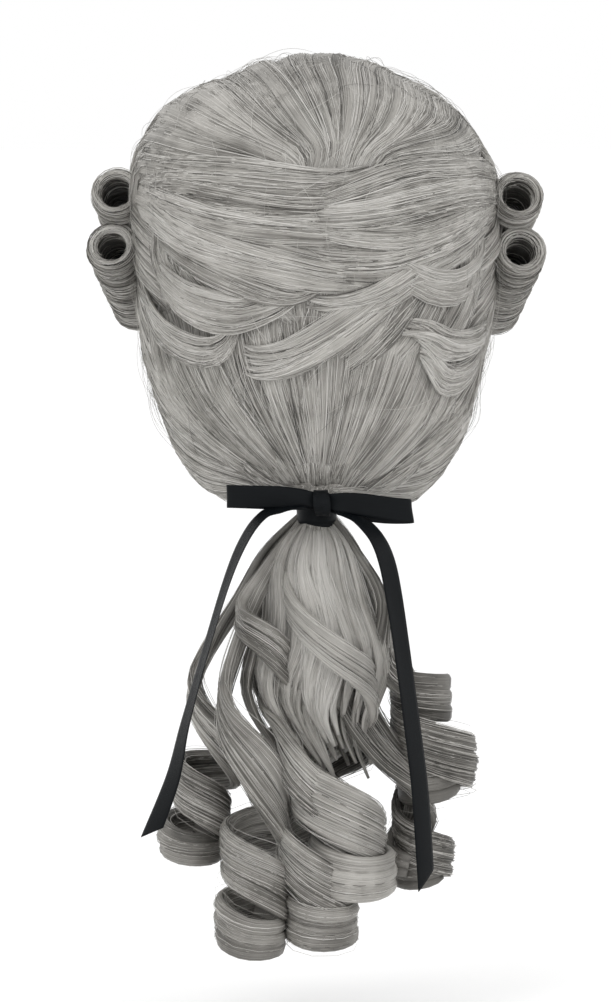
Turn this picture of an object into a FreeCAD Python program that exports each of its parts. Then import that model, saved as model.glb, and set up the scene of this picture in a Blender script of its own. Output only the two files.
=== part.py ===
"""Costume wig in the powdered style: a wefted stretch cap, swept-back hair, two barrel rolls at
each side, and a curled ponytail tied at the nape with a satin ribbon bow.

Millimetres. +Z is up, the wearer faces -Y, and the wearer's left is +X. The origin is the centre
of the head that the cap fits, at the level where a hat sits.
"""
import FreeCAD, Part
import math
import os

Vector = FreeCAD.Vector
Rotation = FreeCAD.Rotation
Placement = FreeCAD.Placement
os.makedirs("parts", exist_ok=True)

# ---------------------------------------------------------------- driving dimensions
# The head the cap is made for, as an ellipsoid about the origin.
head_half_width = 76.0
head_half_length = 96.0
head_crown_height = 112.0
neck_half_width = 60.0
neck_half_length = 58.0
neck_centre_y = 4.0

# Cap: layers stacked outward from the head, and the plane of its rim.
band_thickness = 1.0
net_thickness = 0.8
rib_thickness = 0.6
weft_thickness = 1.4
hair_gap = 0.3
band_width = 18.0
band_joint_y = 8.0
rim_mid_z = -26.0
rim_tilt = 34.0
rib_width = 6.0
rib_angles = (-56.0, -28.0, 0.0, 28.0, 56.0)
rib_top_z = 72.0
weft_height = 2.4
weft_pitch = 13.0
weft_rows = 9
weft_front_y = -28.0

# Ear tabs, hanging from the rim in front of the ears.
tab_centre_y = -30.0
tab_width = 24.0
tab_length = 24.0
tab_thickness = 1.8
tab_gap = 1.5
stay_width = 4.0
stay_thickness = 0.6
stay_end_gap = 4.0

# Adjusters inside the nape: a strap with a tongue that slips through loops on a tape.
adjuster_azimuth = 41.0
adjuster_span = 24.0
tape_width = 9.0
tape_length = 20.0
tape_thickness = 1.2
loop_pitch = 6.0
loop_count = 3
loop_wire = 0.8
loop_length = 1.8
tongue_width = 4.4
strap_layer = 0.9
strap_width = 7.0
strap_length = 29.0
hook_width = 9.0
hook_length = 7.0
sleeve_length = 10.0
sleeve_wall = 0.8
slide_gap = 0.3

# Outline of the hair, level by level: height, then how far its side, its front and its back stand
# out beyond the head's (less than nothing where they draw in). The first levels are measured
# from the head's crown, the others from the origin.
hair_crown_levels = (
    (24.0, -62.0, -62.0, -72.0),
    (19.0, -38.0, -40.0, -54.0),
    (12.0, -22.0, -27.0, -38.0),
    (2.0, -9.0, -15.0, -22.0),
    (-14.0, 5.0, -3.0, -5.0),
)
hair_lower_levels = (
    (76.0, 19.0, 6.0, 10.0),
    (50.0, 21.0, 8.0, 20.0),
    (20.0, 19.0, 3.0, 24.0),
    (-20.0, 18.0, -2.0, 19.0),
    (-50.0, 14.0, -8.0, 9.0),
    (-78.0, 3.0, -16.0, -3.0),
    (-96.0, -7.0, -24.0, -12.0),
    (-112.0, -20.0, -32.0, -21.0),
)
hair_widest_y = 6.0
hair_squareness = 2.3
hair_edge_front = (-92.0, 36.0)
hair_edge_back = (22.0, -106.0)
hair_bottom_z = -107.0
crown_split_z = 78.0
side_split_y = 12.0
swept_low_z = 16.0
swept_depth = 9.0

# Barrel rolls: hollow tubes lying front to back over the ears.
roll_radius = 14.6
roll_gap = 0.4
roll_bore_upper = 9.6
roll_bore_lower = 8.6
roll_length = 92.0
roll_pitch = 25.0
roll_yaw = 9.0
roll_back_y = 26.0
roll_stand_off = 35.0
roll_upper_z = 58.0
roll_lower_out = 2.0
pin_wire_radius = 0.6
pin_leg_spacing = 7.0
pin_leg_length = 15.0
pin_stations = (0.25, 0.7)
pin_bite = 2.0

# Tie at the nape.
tie_y = 78.0
tie_z = -118.0
stem_radius = 9.7
elastic_depth = 1.5
elastic_height = 4.0
wrap_height = 15.0
ribbon_width = 12.7
ribbon_thickness = 0.6
wrap_thickness = 0.8
swivel_gap = 0.5
bow_clearance = 3.0
gather_half_width = 30.0
gather_depth = 11.0
knot_size = (8.0, 6.5, 13.0)
knot_x = -3.0
knot_rise = 7.5
bow_root_radius = 1.6
bow_tip_radius = 5.5
bow_reach_left = 51.0
bow_reach_right = 50.0
bow_slope_left = 1.5
bow_slope_right = -9.0
bow_tip_out = 2.0

# Ribbon tails, each hanging from just below its loop of the bow.
tail_start_y = 95.0
tail_hang_y = 116.5
tail_bulge_height = 42.0
tail_layer_step = 2.0
tail_left_pivot = (30.0, -122.5)
tail_left_length = 186.0
tail_left_angle = 19.5
tail_right_pivot = (-33.0, -128.5)
tail_right_length = 198.0
tail_right_angle = 8.2
tail_cut_slope = 42.0

# Ponytail: the fan below the tie, and the curls that hang from it.
fan_levels = ((-143.0, 28.0, 16.0), (-165.0, 41.0, 24.0), (-187.0, 50.0, 35.0))
fan_top_z = -122.0
fan_top_radius = 7.0
curl_gap = 0.5
# name: top x, top y, bottom x, bottom y, bottom z, top radius, bottom radius
curls = {
    "curl_front_left": (33.0, 92.0, 36.5, 94.0, -367.0, 14.0, 19.0),
    "curl_front_centre": (-1.0, 92.0, -2.0, 94.0, -361.0, 16.0, 17.5),
    "curl_front_right": (-35.0, 91.0, -40.5, 94.0, -334.0, 15.0, 19.5),
    "curl_outer_left": (43.0, 60.0, 67.0, 58.0, -312.0, 14.0, 20.0),
    "curl_back_left": (13.0, 56.0, 23.5, 52.0, -332.0, 14.0, 18.0),
    "curl_back_right": (-16.5, 56.0, -16.0, 52.0, -338.0, 14.0, 18.0),
    "curl_outer_right": (-45.5, 60.0, -67.0, 60.0, -284.0, 14.0, 20.0),
}
lower_right_curl = (-57.0, 59.0, -58.0, 59.0, -333.0, 16.0, 15.0)

big = 400.0
oval_points = 24
head_levels = (-62, -50, -38, -26, -13, 0, 13, 26, 38, 50, 61, 71, 79, 85)
inner_layer = band_thickness + net_thickness
rib_layer = inner_layer + rib_thickness
weft_layer = rib_layer + weft_thickness
hair_layer = weft_layer + hair_gap
tie_centre = Vector(0, tie_y, tie_z)
hair_levels = [(head_crown_height + rise, *stand) for rise, *stand in hair_crown_levels]
hair_levels += hair_lower_levels
wrap_radius = stem_radius + wrap_thickness
knot_z = tie_z + knot_rise
bow_clear_radius = math.hypot(wrap_radius, knot_rise + ribbon_width / 2) + bow_clearance
roll_spacing = (2 * roll_radius + roll_gap) / math.cos(math.radians(roll_pitch))
swivel_radius = math.hypot(wrap_radius, wrap_height / 2) + swivel_gap


# ---------------------------------------------------------------- helpers
def save(name, *solids):
    """Writes one node; several solids stay separate solids in it."""
    shape = solids[0] if len(solids) == 1 else Part.makeCompound(list(solids))
    parts = shape.Solids
    if not parts or not shape.isValid():
        raise ValueError(name + " has no valid solid")
    clean = parts[0] if len(parts) == 1 else Part.makeCompound(parts)
    clean.exportStep("parts/" + name + ".step")
    print(name, len(parts), "solid", round(clean.Volume / 1000.0, 2), "cm3")


def box(x0, x1, y0, y1, z0, z1):
    return Part.makeBox(x1 - x0, y1 - y0, z1 - z0, Vector(x0, y0, z0))


def oval(z, half_width, front, back, middle_y, squareness):
    """A level closed curve, started at the face so that its seam stays away from the back."""
    points = []
    for k in range(oval_points):
        angle = 2 * math.pi * k / oval_points - math.pi / 2
        c, s = math.cos(angle), math.sin(angle)
        reach = back - middle_y if s > 0 else middle_y - front
        x = half_width * math.copysign(abs(c) ** (2 / squareness), c)
        y = reach * math.copysign(abs(s) ** (2 / squareness), s)
        points.append(Vector(x, y + middle_y, z))
    curve = Part.BSplineCurve()
    curve.interpolate(points, PeriodicFlag=True)
    return Part.Wire([curve.toShape()])


def head_form(layer):
    """The head, grown outward by the layers of the cap below the one that is wanted."""
    width, length = head_half_width + layer, head_half_length + layer
    wires = []
    for rise in head_levels:
        c = math.cos(math.radians(rise))
        z = (head_crown_height + layer) * math.sin(math.radians(rise))
        wires.append(oval(z, width * c, -length * c, length * c, 0.0, 2.0))
    return Part.makeLoft(wires, True, False)


def head_shell(inner, outer):
    return head_form(outer).cut(head_form(inner))


def in_rim_frame(shape):
    """Turns a shape made with its z along the rim's normal into place on the rim plane."""
    shape.Placement = Placement(
        Vector(0, 0, rim_mid_z), Rotation(Vector(1, 0, 0), -rim_tilt)
    ).multiply(shape.Placement)
    return shape


def rim_slab(low, high):
    """The space between two heights above the plane of the rim."""
    return in_rim_frame(box(-big, big, -big, big, low, high))


def behind(y):
    return box(-big, big, y, big, -big, big)


def ahead_of(y):
    return box(-big, big, -big, y, -big, big)


# ---------------------------------------------------------------- cap
def cap():
    net = head_shell(band_thickness, inner_layer).common(rim_slab(0, big))
    save("cap_net", net)
    band = head_shell(0, band_thickness).common(rim_slab(0, band_width))
    save("front_band", band.common(ahead_of(band_joint_y)))
    save("nape_band", band.common(behind(band_joint_y)))

    rib_space = head_shell(inner_layer, rib_layer).common(rim_slab(0, big))
    rib_space = rib_space.common(box(-big, big, -big, big, -big, rib_top_z))
    ribs = []
    for angle in rib_angles:
        slab = box(-rib_width / 2, rib_width / 2, 0, big, -big, big)
        slab.rotate(Vector(0, 0, 0), Vector(0, 0, 1), angle)
        ribs.extend(rib_space.common(slab).Solids)
    save("cap_ribs", *ribs)

    weft_space = head_shell(rib_layer, weft_layer).common(behind(weft_front_y))
    tracks = []
    for row in range(weft_rows):
        low = weft_pitch * (row + 0.4)
        tracks.extend(weft_space.common(rim_slab(low, low + weft_height)).Solids)
    save("weft_tracks", *tracks)

    label = head_shell(-0.5, 0).common(rim_slab(3, 14)).common(behind(0))
    save("care_label", label.common(box(-9, 9, -big, big, -big, big)))


def ear_tabs():
    """Each tab is a rounded tongue cut from the head's own curve, with a bendable stay sewn in."""
    centre = tab_centre_y / math.cos(math.radians(rim_tilt))
    for side, name in ((1, "left"), (-1, "right")):
        reach = box(0, big, centre - tab_width / 2, centre + tab_width / 2,
                    -tab_gap - tab_length, -tab_gap)
        low_corners = [
            edge for edge in reach.Edges
            if abs(edge.BoundBox.ZMax + tab_gap + tab_length) < 0.01
            and edge.BoundBox.XLength > tab_width
        ]
        outline = in_rim_frame(reach.makeFillet(tab_width * 0.4, low_corners))
        inset = (tab_thickness - stay_thickness) / 2
        slot = in_rim_frame(box(0, big, centre - stay_width / 2, centre + stay_width / 2,
                                -tab_gap - tab_length + stay_end_gap,
                                -tab_gap - stay_end_gap))
        tab = head_shell(0, tab_thickness).common(outline)
        stay = head_shell(inset, inset + stay_thickness).common(slot)
        tab = tab.cut(stay)
        if side < 0:
            tab, stay = (s.mirror(Vector(), Vector(1, 0, 0)) for s in (tab, stay))
        save("ear_tab_" + name, tab)
        save("ear_stay_" + name, stay)


def nape_point(azimuth, height):
    """Where the head meets the plane at a height above the rim, at an azimuth from +Y."""
    tilt = math.radians(rim_tilt)
    turn = math.radians(azimuth)
    rise = rim_mid_z + height / math.cos(tilt)
    slope = -math.cos(turn) * math.tan(tilt)
    a = ((math.sin(turn) / head_half_width) ** 2 + (math.cos(turn) / head_half_length) ** 2
         + (slope / head_crown_height) ** 2)
    b = 2 * rise * slope / head_crown_height ** 2
    c = (rise / head_crown_height) ** 2 - 1
    r = (-b + math.sqrt(b * b - 4 * a * c)) / (2 * a)
    return Vector(r * math.sin(turn), r * math.cos(turn), rise + slope * r)


def adjusters():
    """The nape is nearly a circular arc there, so every piece is a sector about that circle's axis."""
    height = band_width / 2
    spots = [nape_point(adjuster_azimuth + k * adjuster_span, height) for k in (-1, 0, 1)]
    circle = Part.Arc(*spots).toShape().Curve
    tilt = math.radians(rim_tilt)
    axis = Vector(0, math.sin(tilt), math.cos(tilt))
    centre, radius = circle.Center, circle.Radius
    towards = (spots[0] - centre).normalize()
    tape_inner = radius - tape_thickness
    print("adjuster axis", [round(v, 3) for v in centre], "radius", round(radius, 2),
          "travel deg", round(math.degrees((loop_count - 1) * loop_pitch / radius), 2))

    def sector(r_in, r_out, width, start, length):
        """A ring sector from start to start + length, measured in mm towards the ear."""
        ring = Part.makeCylinder(r_out, width, Vector(), Vector(0, 0, 1),
                                 math.degrees(length / radius))
        ring = ring.cut(Part.makeCylinder(r_in, width, Vector()))
        ring.translate(Vector(0, 0, -width / 2))
        ring.rotate(Vector(), Vector(0, 0, 1), math.degrees(start / radius))
        side = axis.cross(towards)
        turn = FreeCAD.Matrix(towards.x, side.x, axis.x, centre.x,
                              towards.y, side.y, axis.y, centre.y,
                              towards.z, side.z, axis.z, centre.z, 0, 0, 0, 1)
        flip = FreeCAD.Matrix()
        flip.scale(Vector(1, -1, 1))
        return ring.transformGeometry(turn.multiply(flip))

    inside = head_form(0)
    tongue_outer = tape_inner - slide_gap
    tongue_inner = tongue_outer - strap_layer
    loop_inner = tongue_inner - slide_gap
    travel = (loop_count - 1) * loop_pitch
    first_loop = tape_length - loop_pitch / 2 - loop_length
    hook_start = first_loop + loop_length + 1.0 + travel

    tape = sector(tape_inner, radius + 3, tape_width, 0, tape_length).common(inside)
    for k in range(loop_count):
        start = first_loop - k * loop_pitch
        arch = sector(loop_inner - loop_wire, tape_inner,
                      tongue_width + 2 * (slide_gap + loop_wire), start, loop_length)
        hole = sector(loop_inner, tape_inner + 0.01,
                      tongue_width + 2 * slide_gap, start - 1, loop_length + 2)
        tape = tape.fuse(arch.cut(hole))
    tongue = sector(tongue_inner, tongue_outer, tongue_width, first_loop - 1.0,
                    hook_start - first_loop + 1.5)
    hook = tongue.fuse(sector(tongue_inner, tongue_outer, hook_width, hook_start, hook_length))
    strap_start = hook_start + hook_length
    strap = sector(tongue_inner, tongue_outer, strap_width, strap_start, strap_length)
    sleeve_start = strap_start + strap_length - sleeve_length - 5.0
    sleeve = sector(tongue_inner - slide_gap - sleeve_wall, radius + 3,
                    strap_width + 2 * (slide_gap + sleeve_wall), sleeve_start,
                    sleeve_length).common(inside)
    sleeve = sleeve.cut(sector(tongue_inner - slide_gap, tongue_outer + slide_gap,
                               strap_width + 2 * slide_gap, sleeve_start - 1,
                               sleeve_length + 2))
    pieces = {"loop_tape_": tape, "adjuster_hook_": hook, "adjuster_strap_": strap,
              "strap_sleeve_": sleeve}
    for name, piece in pieces.items():
        save(name + "left", piece)
        save(name + "right", piece.mirror(Vector(), Vector(1, 0, 0)))


# ---------------------------------------------------------------- hair on the cap
def hair_form(inset):
    """The outer shape of the dressed hair, or a copy of it drawn in by an inset."""
    wires = []
    for z, side, front, back in hair_levels:
        half_width = head_half_width + side
        front_y, back_y = -head_half_length - front, head_half_length + back
        if half_width > inset + 10:
            wires.append(oval(z, half_width - inset, front_y + inset, back_y - inset,
                              hair_widest_y, hair_squareness))
    return Part.makeLoft(wires, True, False)


def hair_space():
    """All the room that hair on the cap can fill: round the head and neck, behind the face."""
    neck = Part.makeCylinder(1.0, 1.0).transformGeometry(
        FreeCAD.Matrix(neck_half_width, 0, 0, 0, 0, neck_half_length, 0, neck_centre_y,
                       0, 0, big, -big, 0, 0, 0, 1))
    run = hair_edge_back[0] - hair_edge_front[0]
    drop = hair_edge_front[1] - hair_edge_back[1]
    edge = box(-big, big, -big, big, 0, big)
    edge.rotate(Vector(), Vector(1, 0, 0), -math.degrees(math.atan2(drop, run)))
    edge.translate(Vector(0, hair_edge_front[0], hair_edge_front[1]))
    space = hair_form(0).cut(head_form(hair_layer)).cut(neck)
    space = space.common(edge).common(box(-big, big, -big, big, hair_bottom_z, big))
    return space.cut(bow_room())


def bow_room():
    """The room the bow sweeps as the ponytail is lifted."""
    half = max(bow_reach_left, bow_reach_right) + bow_clear_radius
    start = tie_centre - Vector(half, 0, 0)
    return Part.makeCylinder(bow_clear_radius, 2 * half, start, Vector(1, 0, 0))


def roll_frame(side, lower):
    """Centre of a roll's back end and its direction towards the face."""
    z = roll_upper_z - (roll_spacing if lower else 0)
    x = head_half_width + roll_stand_off + (roll_lower_out if lower else 0)
    pitch, yaw = math.radians(roll_pitch), math.radians(roll_yaw)
    along = Vector(-side * math.sin(yaw) * math.cos(pitch),
                   -math.cos(yaw) * math.cos(pitch), -math.sin(pitch))
    return Vector(side * x, roll_back_y, z), along


def rolls():
    """Hollow rolls and the hairpins through them; returns the room that they all take."""
    room = []
    for side, side_name in ((1, "left"), (-1, "right")):
        pins = []
        for lower, name, bore in (
            (False, "upper", roll_bore_upper),
            (True, "lower", roll_bore_lower),
        ):
            start, along = roll_frame(side, lower)
            body = Part.makeCylinder(roll_radius, roll_length, start, along)
            hole = Part.makeCylinder(bore, roll_length, start, along)
            tube = body.cut(hole)
            room.append(body)
            inward = Vector(-side, 0, 0)
            for share in pin_stations:
                spot = start + along * (roll_length * share) + inward * (bore - pin_bite)
                pin = hairpin(spot, inward, along)
                tube = tube.cut(pin)
                pins.append(pin)
            save("roll_" + name + "_" + side_name, tube)
        save("roll_pins_" + side_name, *pins)
        room.extend(pins)
    return room


def hairpin(spot, inward, along):
    """A bent wire with two legs, its bend inside the roll."""
    half = along * (pin_leg_spacing / 2)
    inward = (inward - along * inward.dot(along)).normalize()
    bend = spot - inward * (pin_leg_spacing / 2)
    path = Part.Wire([
        Part.LineSegment(spot - half + inward * pin_leg_length, spot - half).toShape(),
        Part.Arc(spot - half, bend, spot + half).toShape(),
        Part.LineSegment(spot + half, spot + half + inward * pin_leg_length).toShape(),
    ])
    ring = Part.Wire([Part.Circle(spot - half + inward * pin_leg_length, inward,
                                  pin_wire_radius).toShape()])
    return path.makePipeShell([ring], True, False)


def cap_hair(roll_room):
    space = hair_space()
    for roll in roll_room:
        space = space.cut(roll)
    below = space.common(box(-big, big, -big, big, -big, crown_split_z))
    save("crown_hair", space.common(box(-big, big, -big, big, crown_split_z, big)))
    sides = below.common(ahead_of(side_split_y))
    save("side_hair_left", sides.common(box(0, big, -big, big, -big, big)))
    save("side_hair_right", sides.common(box(-big, 0, -big, big, -big, big)))
    back = below.common(behind(side_split_y))
    outer = back.cut(hair_form(swept_depth))
    swept = outer.common(box(-big, big, -big, big, swept_low_z, big))
    save("swept_hair_left", swept.common(box(0, big, -big, big, -big, big)))
    save("swept_hair_right", swept.common(box(-big, 0, -big, big, -big, big)))
    save("back_hair", back.cut(swept))


def nape_gather():
    """The hair drawn from the nape to the top of the tie, on the side towards the neck."""
    top_z = tie_z + bow_clear_radius
    low = tie_z + math.sqrt(swivel_radius ** 2 - (stem_radius / 2) ** 2) + swivel_gap
    back_y = tie_y - swivel_gap
    def slab(half, depth, z):
        corners = [Vector(-half, back_y - depth, z), Vector(half, back_y - depth, z),
                   Vector(half, back_y, z), Vector(-half, back_y, z)]
        return Part.makePolygon(corners + corners[:1])
    gather = Part.makeLoft([slab(stem_radius, stem_radius, low),
                            slab(gather_half_width, gather_depth, top_z)], True, True)
    save("nape_gather", gather.common(bow_room()))


# ---------------------------------------------------------------- tie, bow and tails
def two_circle_face(a, r_a, b, r_b):
    """The flat outline of a belt round two circles in the plane z = 0."""
    gap = b - a
    turn = math.degrees(math.atan2(gap.y, gap.x))
    lean = math.acos((r_a - r_b) / gap.Length)
    def on(centre, r, angle):
        return centre + Vector(r * math.cos(angle), r * math.sin(angle), 0)
    origin, far = Vector(), Vector(gap.Length, 0, 0)
    edges = [
        Part.LineSegment(on(origin, r_a, lean), on(far, r_b, lean)).toShape(),
        Part.Arc(on(far, r_b, lean), on(far, r_b, 0), on(far, r_b, -lean)).toShape(),
        Part.LineSegment(on(far, r_b, -lean), on(origin, r_a, -lean)).toShape(),
        Part.Arc(on(origin, r_a, -lean), on(origin, r_a, math.pi), on(origin, r_a, lean)).toShape(),
    ]
    face = Part.Face(Part.Wire(edges))
    face.rotate(Vector(), Vector(0, 0, 1), turn)
    face.translate(a)
    return face


def bow_loop(side, reach, slope):
    """One loop of the bow: ribbon on edge, bent round in plan, then tipped by its slope."""
    knot_y = tie_y + wrap_radius + knot_size[1] / 2
    lean = ribbon_width / 2 * math.tan(math.radians(abs(slope)))
    root_x = knot_x + side * (knot_size[0] / 2 + bow_root_radius + ribbon_thickness + lean)
    root = Vector(root_x, knot_y, 0)
    tip = Vector(knot_x + side * (reach - bow_tip_radius), knot_y + bow_tip_out, 0)
    outer = two_circle_face(root, bow_root_radius + ribbon_thickness, tip, bow_tip_radius)
    inner = two_circle_face(root, bow_root_radius, tip, bow_tip_radius - ribbon_thickness)
    loop = outer.cut(inner).extrude(Vector(0, 0, ribbon_width))
    loop.translate(Vector(0, 0, knot_z - ribbon_width / 2))
    loop.rotate(Vector(knot_x, 0, knot_z), Vector(0, 1, 0), -side * slope)
    return loop


def tail(pivot, length, angle, layer):
    """A ribbon that bows outward below the knot, then hangs; a positive angle leans it to +X."""
    out = tail_hang_y - tail_start_y
    half = tail_bulge_height / 2
    points = [(tail_start_y, 0), (tail_start_y + out * 0.22, -half * 0.55),
              (tail_start_y + out * 0.5, -half), (tail_start_y + out * 0.86, -half * 1.5),
              (tail_hang_y, -tail_bulge_height)]
    spots = [Vector(0, y + layer, z) for y, z in points]
    upper = Part.Arc(*spots[:3]).toShape()
    lower = Part.Arc(*spots[2:]).toShape()
    end = spots[-1] - Vector(0, 0, length - tail_bulge_height)
    faces = []
    for edge in (upper, lower, Part.LineSegment(spots[-1], end).toShape()):
        faces.append(edge.extrude(Vector(0, ribbon_thickness, 0)))
    ribbon = faces[0].extrude(Vector(ribbon_width, 0, 0))
    for face in faces[1:]:
        ribbon = ribbon.fuse(face.extrude(Vector(ribbon_width, 0, 0)))
    ribbon.translate(Vector(-ribbon_width / 2, 0, 0))
    trim = box(-big, big, -big, big, -big, 0)
    trim.rotate(Vector(), Vector(0, 1, 0), tail_cut_slope)
    rise = ribbon_width / 2 * math.tan(math.radians(tail_cut_slope))
    trim.translate(Vector(0, 0, -length + rise))
    ribbon = ribbon.cut(trim)
    ribbon.rotate(Vector(), Vector(0, 1, 0), -angle)
    ribbon.translate(Vector(pivot[0], 0, pivot[1]))
    return ribbon.removeSplitter()


def tie():
    down = tie_centre - Vector(0, 0, wrap_height / 2)
    mid = tie_centre - Vector(0, 0, elastic_height / 2)
    stem = Part.makeCylinder(stem_radius, wrap_height, down)
    groove = Part.makeCylinder(stem_radius, elastic_height, mid)
    core = Part.makeCylinder(stem_radius - elastic_depth, elastic_height, mid)
    elastic = groove.cut(core)
    save("ponytail_stem", stem.cut(elastic))
    save("ponytail_elastic", elastic)
    wrap = Part.makeCylinder(wrap_radius, wrap_height, down)
    save("ribbon_wrap", wrap.cut(stem))
    width, depth, height = knot_size
    knot = box(knot_x - width / 2, knot_x + width / 2, tie_y, tie_y + wrap_radius + depth,
               knot_z - height / 2, knot_z + height / 2)
    back_edges = [e for e in knot.Edges if e.BoundBox.YMin > tie_y + wrap_radius]
    knot = knot.makeFillet(depth * 0.3, back_edges)
    column = Part.makeCylinder(wrap_radius, 4 * height, tie_centre - Vector(0, 0, 2 * height))
    save("ribbon_knot", knot.cut(column))
    save("bow_loop_left", bow_loop(1, bow_reach_left, bow_slope_left))
    save("bow_loop_right", bow_loop(-1, bow_reach_right, bow_slope_right))
    save("ribbon_tail_left",
         tail(tail_left_pivot, tail_left_length, tail_left_angle, tail_layer_step))
    save("ribbon_tail_right",
         tail(tail_right_pivot, tail_right_length, -tail_right_angle, 0.0))


# ---------------------------------------------------------------- ponytail
def ellipse_wire(z, half_x, half_y):
    centre = Vector(0, tie_y, z)
    if half_x > half_y:
        curve = Part.Ellipse(centre + Vector(half_x, 0, 0), centre + Vector(0, half_y, 0), centre)
    else:
        curve = Part.Circle(centre, Vector(0, 0, 1), half_x)
    return Part.Wire([curve.toShape()])


def ponytail():
    levels = [(fan_top_z, fan_top_radius, fan_top_radius)] + list(fan_levels)
    fan = Part.makeLoft([ellipse_wire(*level) for level in levels], True, True)
    fan = fan.cut(Part.makeSphere(swivel_radius, tie_centre))
    save("ponytail_root", fan)
    top_z = fan_levels[-1][0] - curl_gap
    for name, (tx, ty, bx, by, bz, top_r, low_r) in curls.items():
        save(name, curl(Vector(tx, ty, top_z), Vector(bx, by, bz), top_r, low_r))
    tx, ty, bx, by, bz, top_r, low_r = lower_right_curl
    top_z = curls["curl_outer_right"][4] - curl_gap
    save("curl_lower_right", curl(Vector(tx, ty, top_z), Vector(bx, by, bz), top_r, low_r))


def curl(top, bottom, top_radius, bottom_radius):
    """A curl's plain envelope: level circles joined from its top to its bottom."""
    wires = [Part.Wire([Part.Circle(spot, Vector(0, 0, 1), r).toShape()])
             for spot, r in ((top, top_radius), (bottom, bottom_radius))]
    return Part.makeLoft(wires, True, True)


cap()
ear_tabs()
adjusters()
cap_hair(rolls())
nape_gather()
tie()
ponytail()
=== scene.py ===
import bpy
import numpy as np
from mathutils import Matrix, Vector


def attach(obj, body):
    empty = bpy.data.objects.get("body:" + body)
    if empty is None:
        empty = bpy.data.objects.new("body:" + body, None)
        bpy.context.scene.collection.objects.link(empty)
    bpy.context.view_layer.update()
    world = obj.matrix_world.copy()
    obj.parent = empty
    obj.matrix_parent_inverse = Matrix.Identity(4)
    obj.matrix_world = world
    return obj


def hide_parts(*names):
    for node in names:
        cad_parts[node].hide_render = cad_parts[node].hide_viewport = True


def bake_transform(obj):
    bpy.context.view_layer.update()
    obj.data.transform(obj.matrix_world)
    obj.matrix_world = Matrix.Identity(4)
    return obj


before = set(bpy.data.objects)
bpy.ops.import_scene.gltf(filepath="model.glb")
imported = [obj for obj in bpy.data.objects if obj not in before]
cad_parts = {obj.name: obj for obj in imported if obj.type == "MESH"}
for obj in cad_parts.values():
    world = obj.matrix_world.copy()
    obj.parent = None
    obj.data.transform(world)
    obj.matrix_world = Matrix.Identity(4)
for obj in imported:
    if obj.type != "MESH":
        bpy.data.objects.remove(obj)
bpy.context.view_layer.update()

rng = np.random.default_rng(11)
mm = 0.001  # every length below is in millimetres until a mesh is made
turnAngle = 6.28  # a whole turn, for random phases
print("frame loaded")


# camera at the back of the wig, a little above it, and soft light all round
view = {"eye": (6, 3000, 130), "aim": (6, 90, -110.6), "lens": 190.0}
cameraData = bpy.data.cameras.new("backCamera")
cameraData.lens = view["lens"]
camera = bpy.data.objects.new("backCamera", cameraData)
bpy.context.scene.collection.objects.link(camera)
camera.location = Vector(view["eye"]) * mm
looking = Vector(view["aim"]) - Vector(view["eye"])
camera.rotation_euler = looking.to_track_quat("-Z", "Y").to_euler()
bpy.context.scene.camera = camera


# small vector helpers on arrays whose last axis is x, y, z
def length(v):
    return np.linalg.norm(v, axis=-1, keepdims=True)


def unit(v):
    return v / np.maximum(length(v), 1e-9)


def ease(t):  # 0 to 1 with flat ends
    t = np.clip(t, 0, 1)
    return t * t * (3 - 2 * t)


# a curve through its control points (Catmull-Rom), for a stack of curves at once
def curveThrough(points, count):
    p = np.asarray(points, float)
    if p.ndim == 2:
        p = p[None]
    last = p.shape[1] - 1
    t = np.linspace(0, last, count)
    i = np.clip(np.floor(t).astype(int), 0, last - 1)
    f = (t - i)[None, :, None]
    a, b = p[:, np.maximum(i - 1, 0)], p[:, i]
    c, d = p[:, i + 1], p[:, np.minimum(i + 2, last)]
    return 0.5 * (
        2 * b + (c - a) * f + (2 * a - 5 * b + 4 * c - d) * f**2
        + (3 * b - a - 3 * c + d) * f**3
    )


# a row of values read smoothly at shares from 0 to 1
def along(values, shares):
    values = np.asarray(values, float)
    return np.interp(shares, np.linspace(0, 1, len(values)), values)


# one closed mesh from vertices, four-sided faces and end caps, with u, v and a tone for shading
def makePiece(name, vertices, quads, caps, uv, tone, material):
    mesh = bpy.data.meshes.new(name)
    loops = np.concatenate([quads.ravel(), caps.ravel()])
    sides = np.concatenate(
        [np.full(len(quads), 4), np.full(len(caps), caps.shape[1] if len(caps) else 3)]
    )
    starts = np.concatenate([[0], np.cumsum(sides)[:-1]])
    mesh.vertices.add(len(vertices))
    mesh.vertices.foreach_set("co", (vertices * mm).astype(np.float32).ravel())
    mesh.loops.add(len(loops))
    mesh.loops.foreach_set("vertex_index", loops.astype(np.int32))
    mesh.polygons.add(len(sides))
    mesh.polygons.foreach_set("loop_start", starts.astype(np.int32))
    mesh.polygons.foreach_set("use_smooth", np.ones(len(sides), bool))
    mesh.update(calc_edges=True)
    layer = mesh.uv_layers.new(name="hairUv")
    layer.data.foreach_set("uv", uv[loops].astype(np.float32).ravel())
    shade = mesh.attributes.new("tone", "FLOAT", "POINT")
    shade.data.foreach_set("value", tone.astype(np.float32))
    mesh.validate()
    piece = bpy.data.objects.new(name, mesh)
    bpy.context.scene.collection.objects.link(piece)
    mesh.materials.append(material)
    print(name, len(mesh.polygons), "faces")
    return piece


def joinParts(parts):  # several (vertices, quads, caps, uv, tone) sets of one kind of cap
    shift = np.cumsum([0] + [len(p[0]) for p in parts[:-1]])
    return (
        np.concatenate([p[0] for p in parts]),
        np.concatenate([p[1] + s for p, s in zip(parts, shift)]),
        np.concatenate([p[2] + s for p, s in zip(parts, shift)]),
        np.concatenate([p[3] for p in parts]),
        np.concatenate([p[4] for p in parts]),
    )


# frames along curves: tangent, the outward direction squared to it, and the direction across
def framesAlong(paths, outward):
    tangent = unit(np.gradient(paths, axis=1))
    up = unit(outward - tangent * np.sum(outward * tangent, -1, keepdims=True))
    return tangent, up, np.cross(tangent, up)


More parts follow.
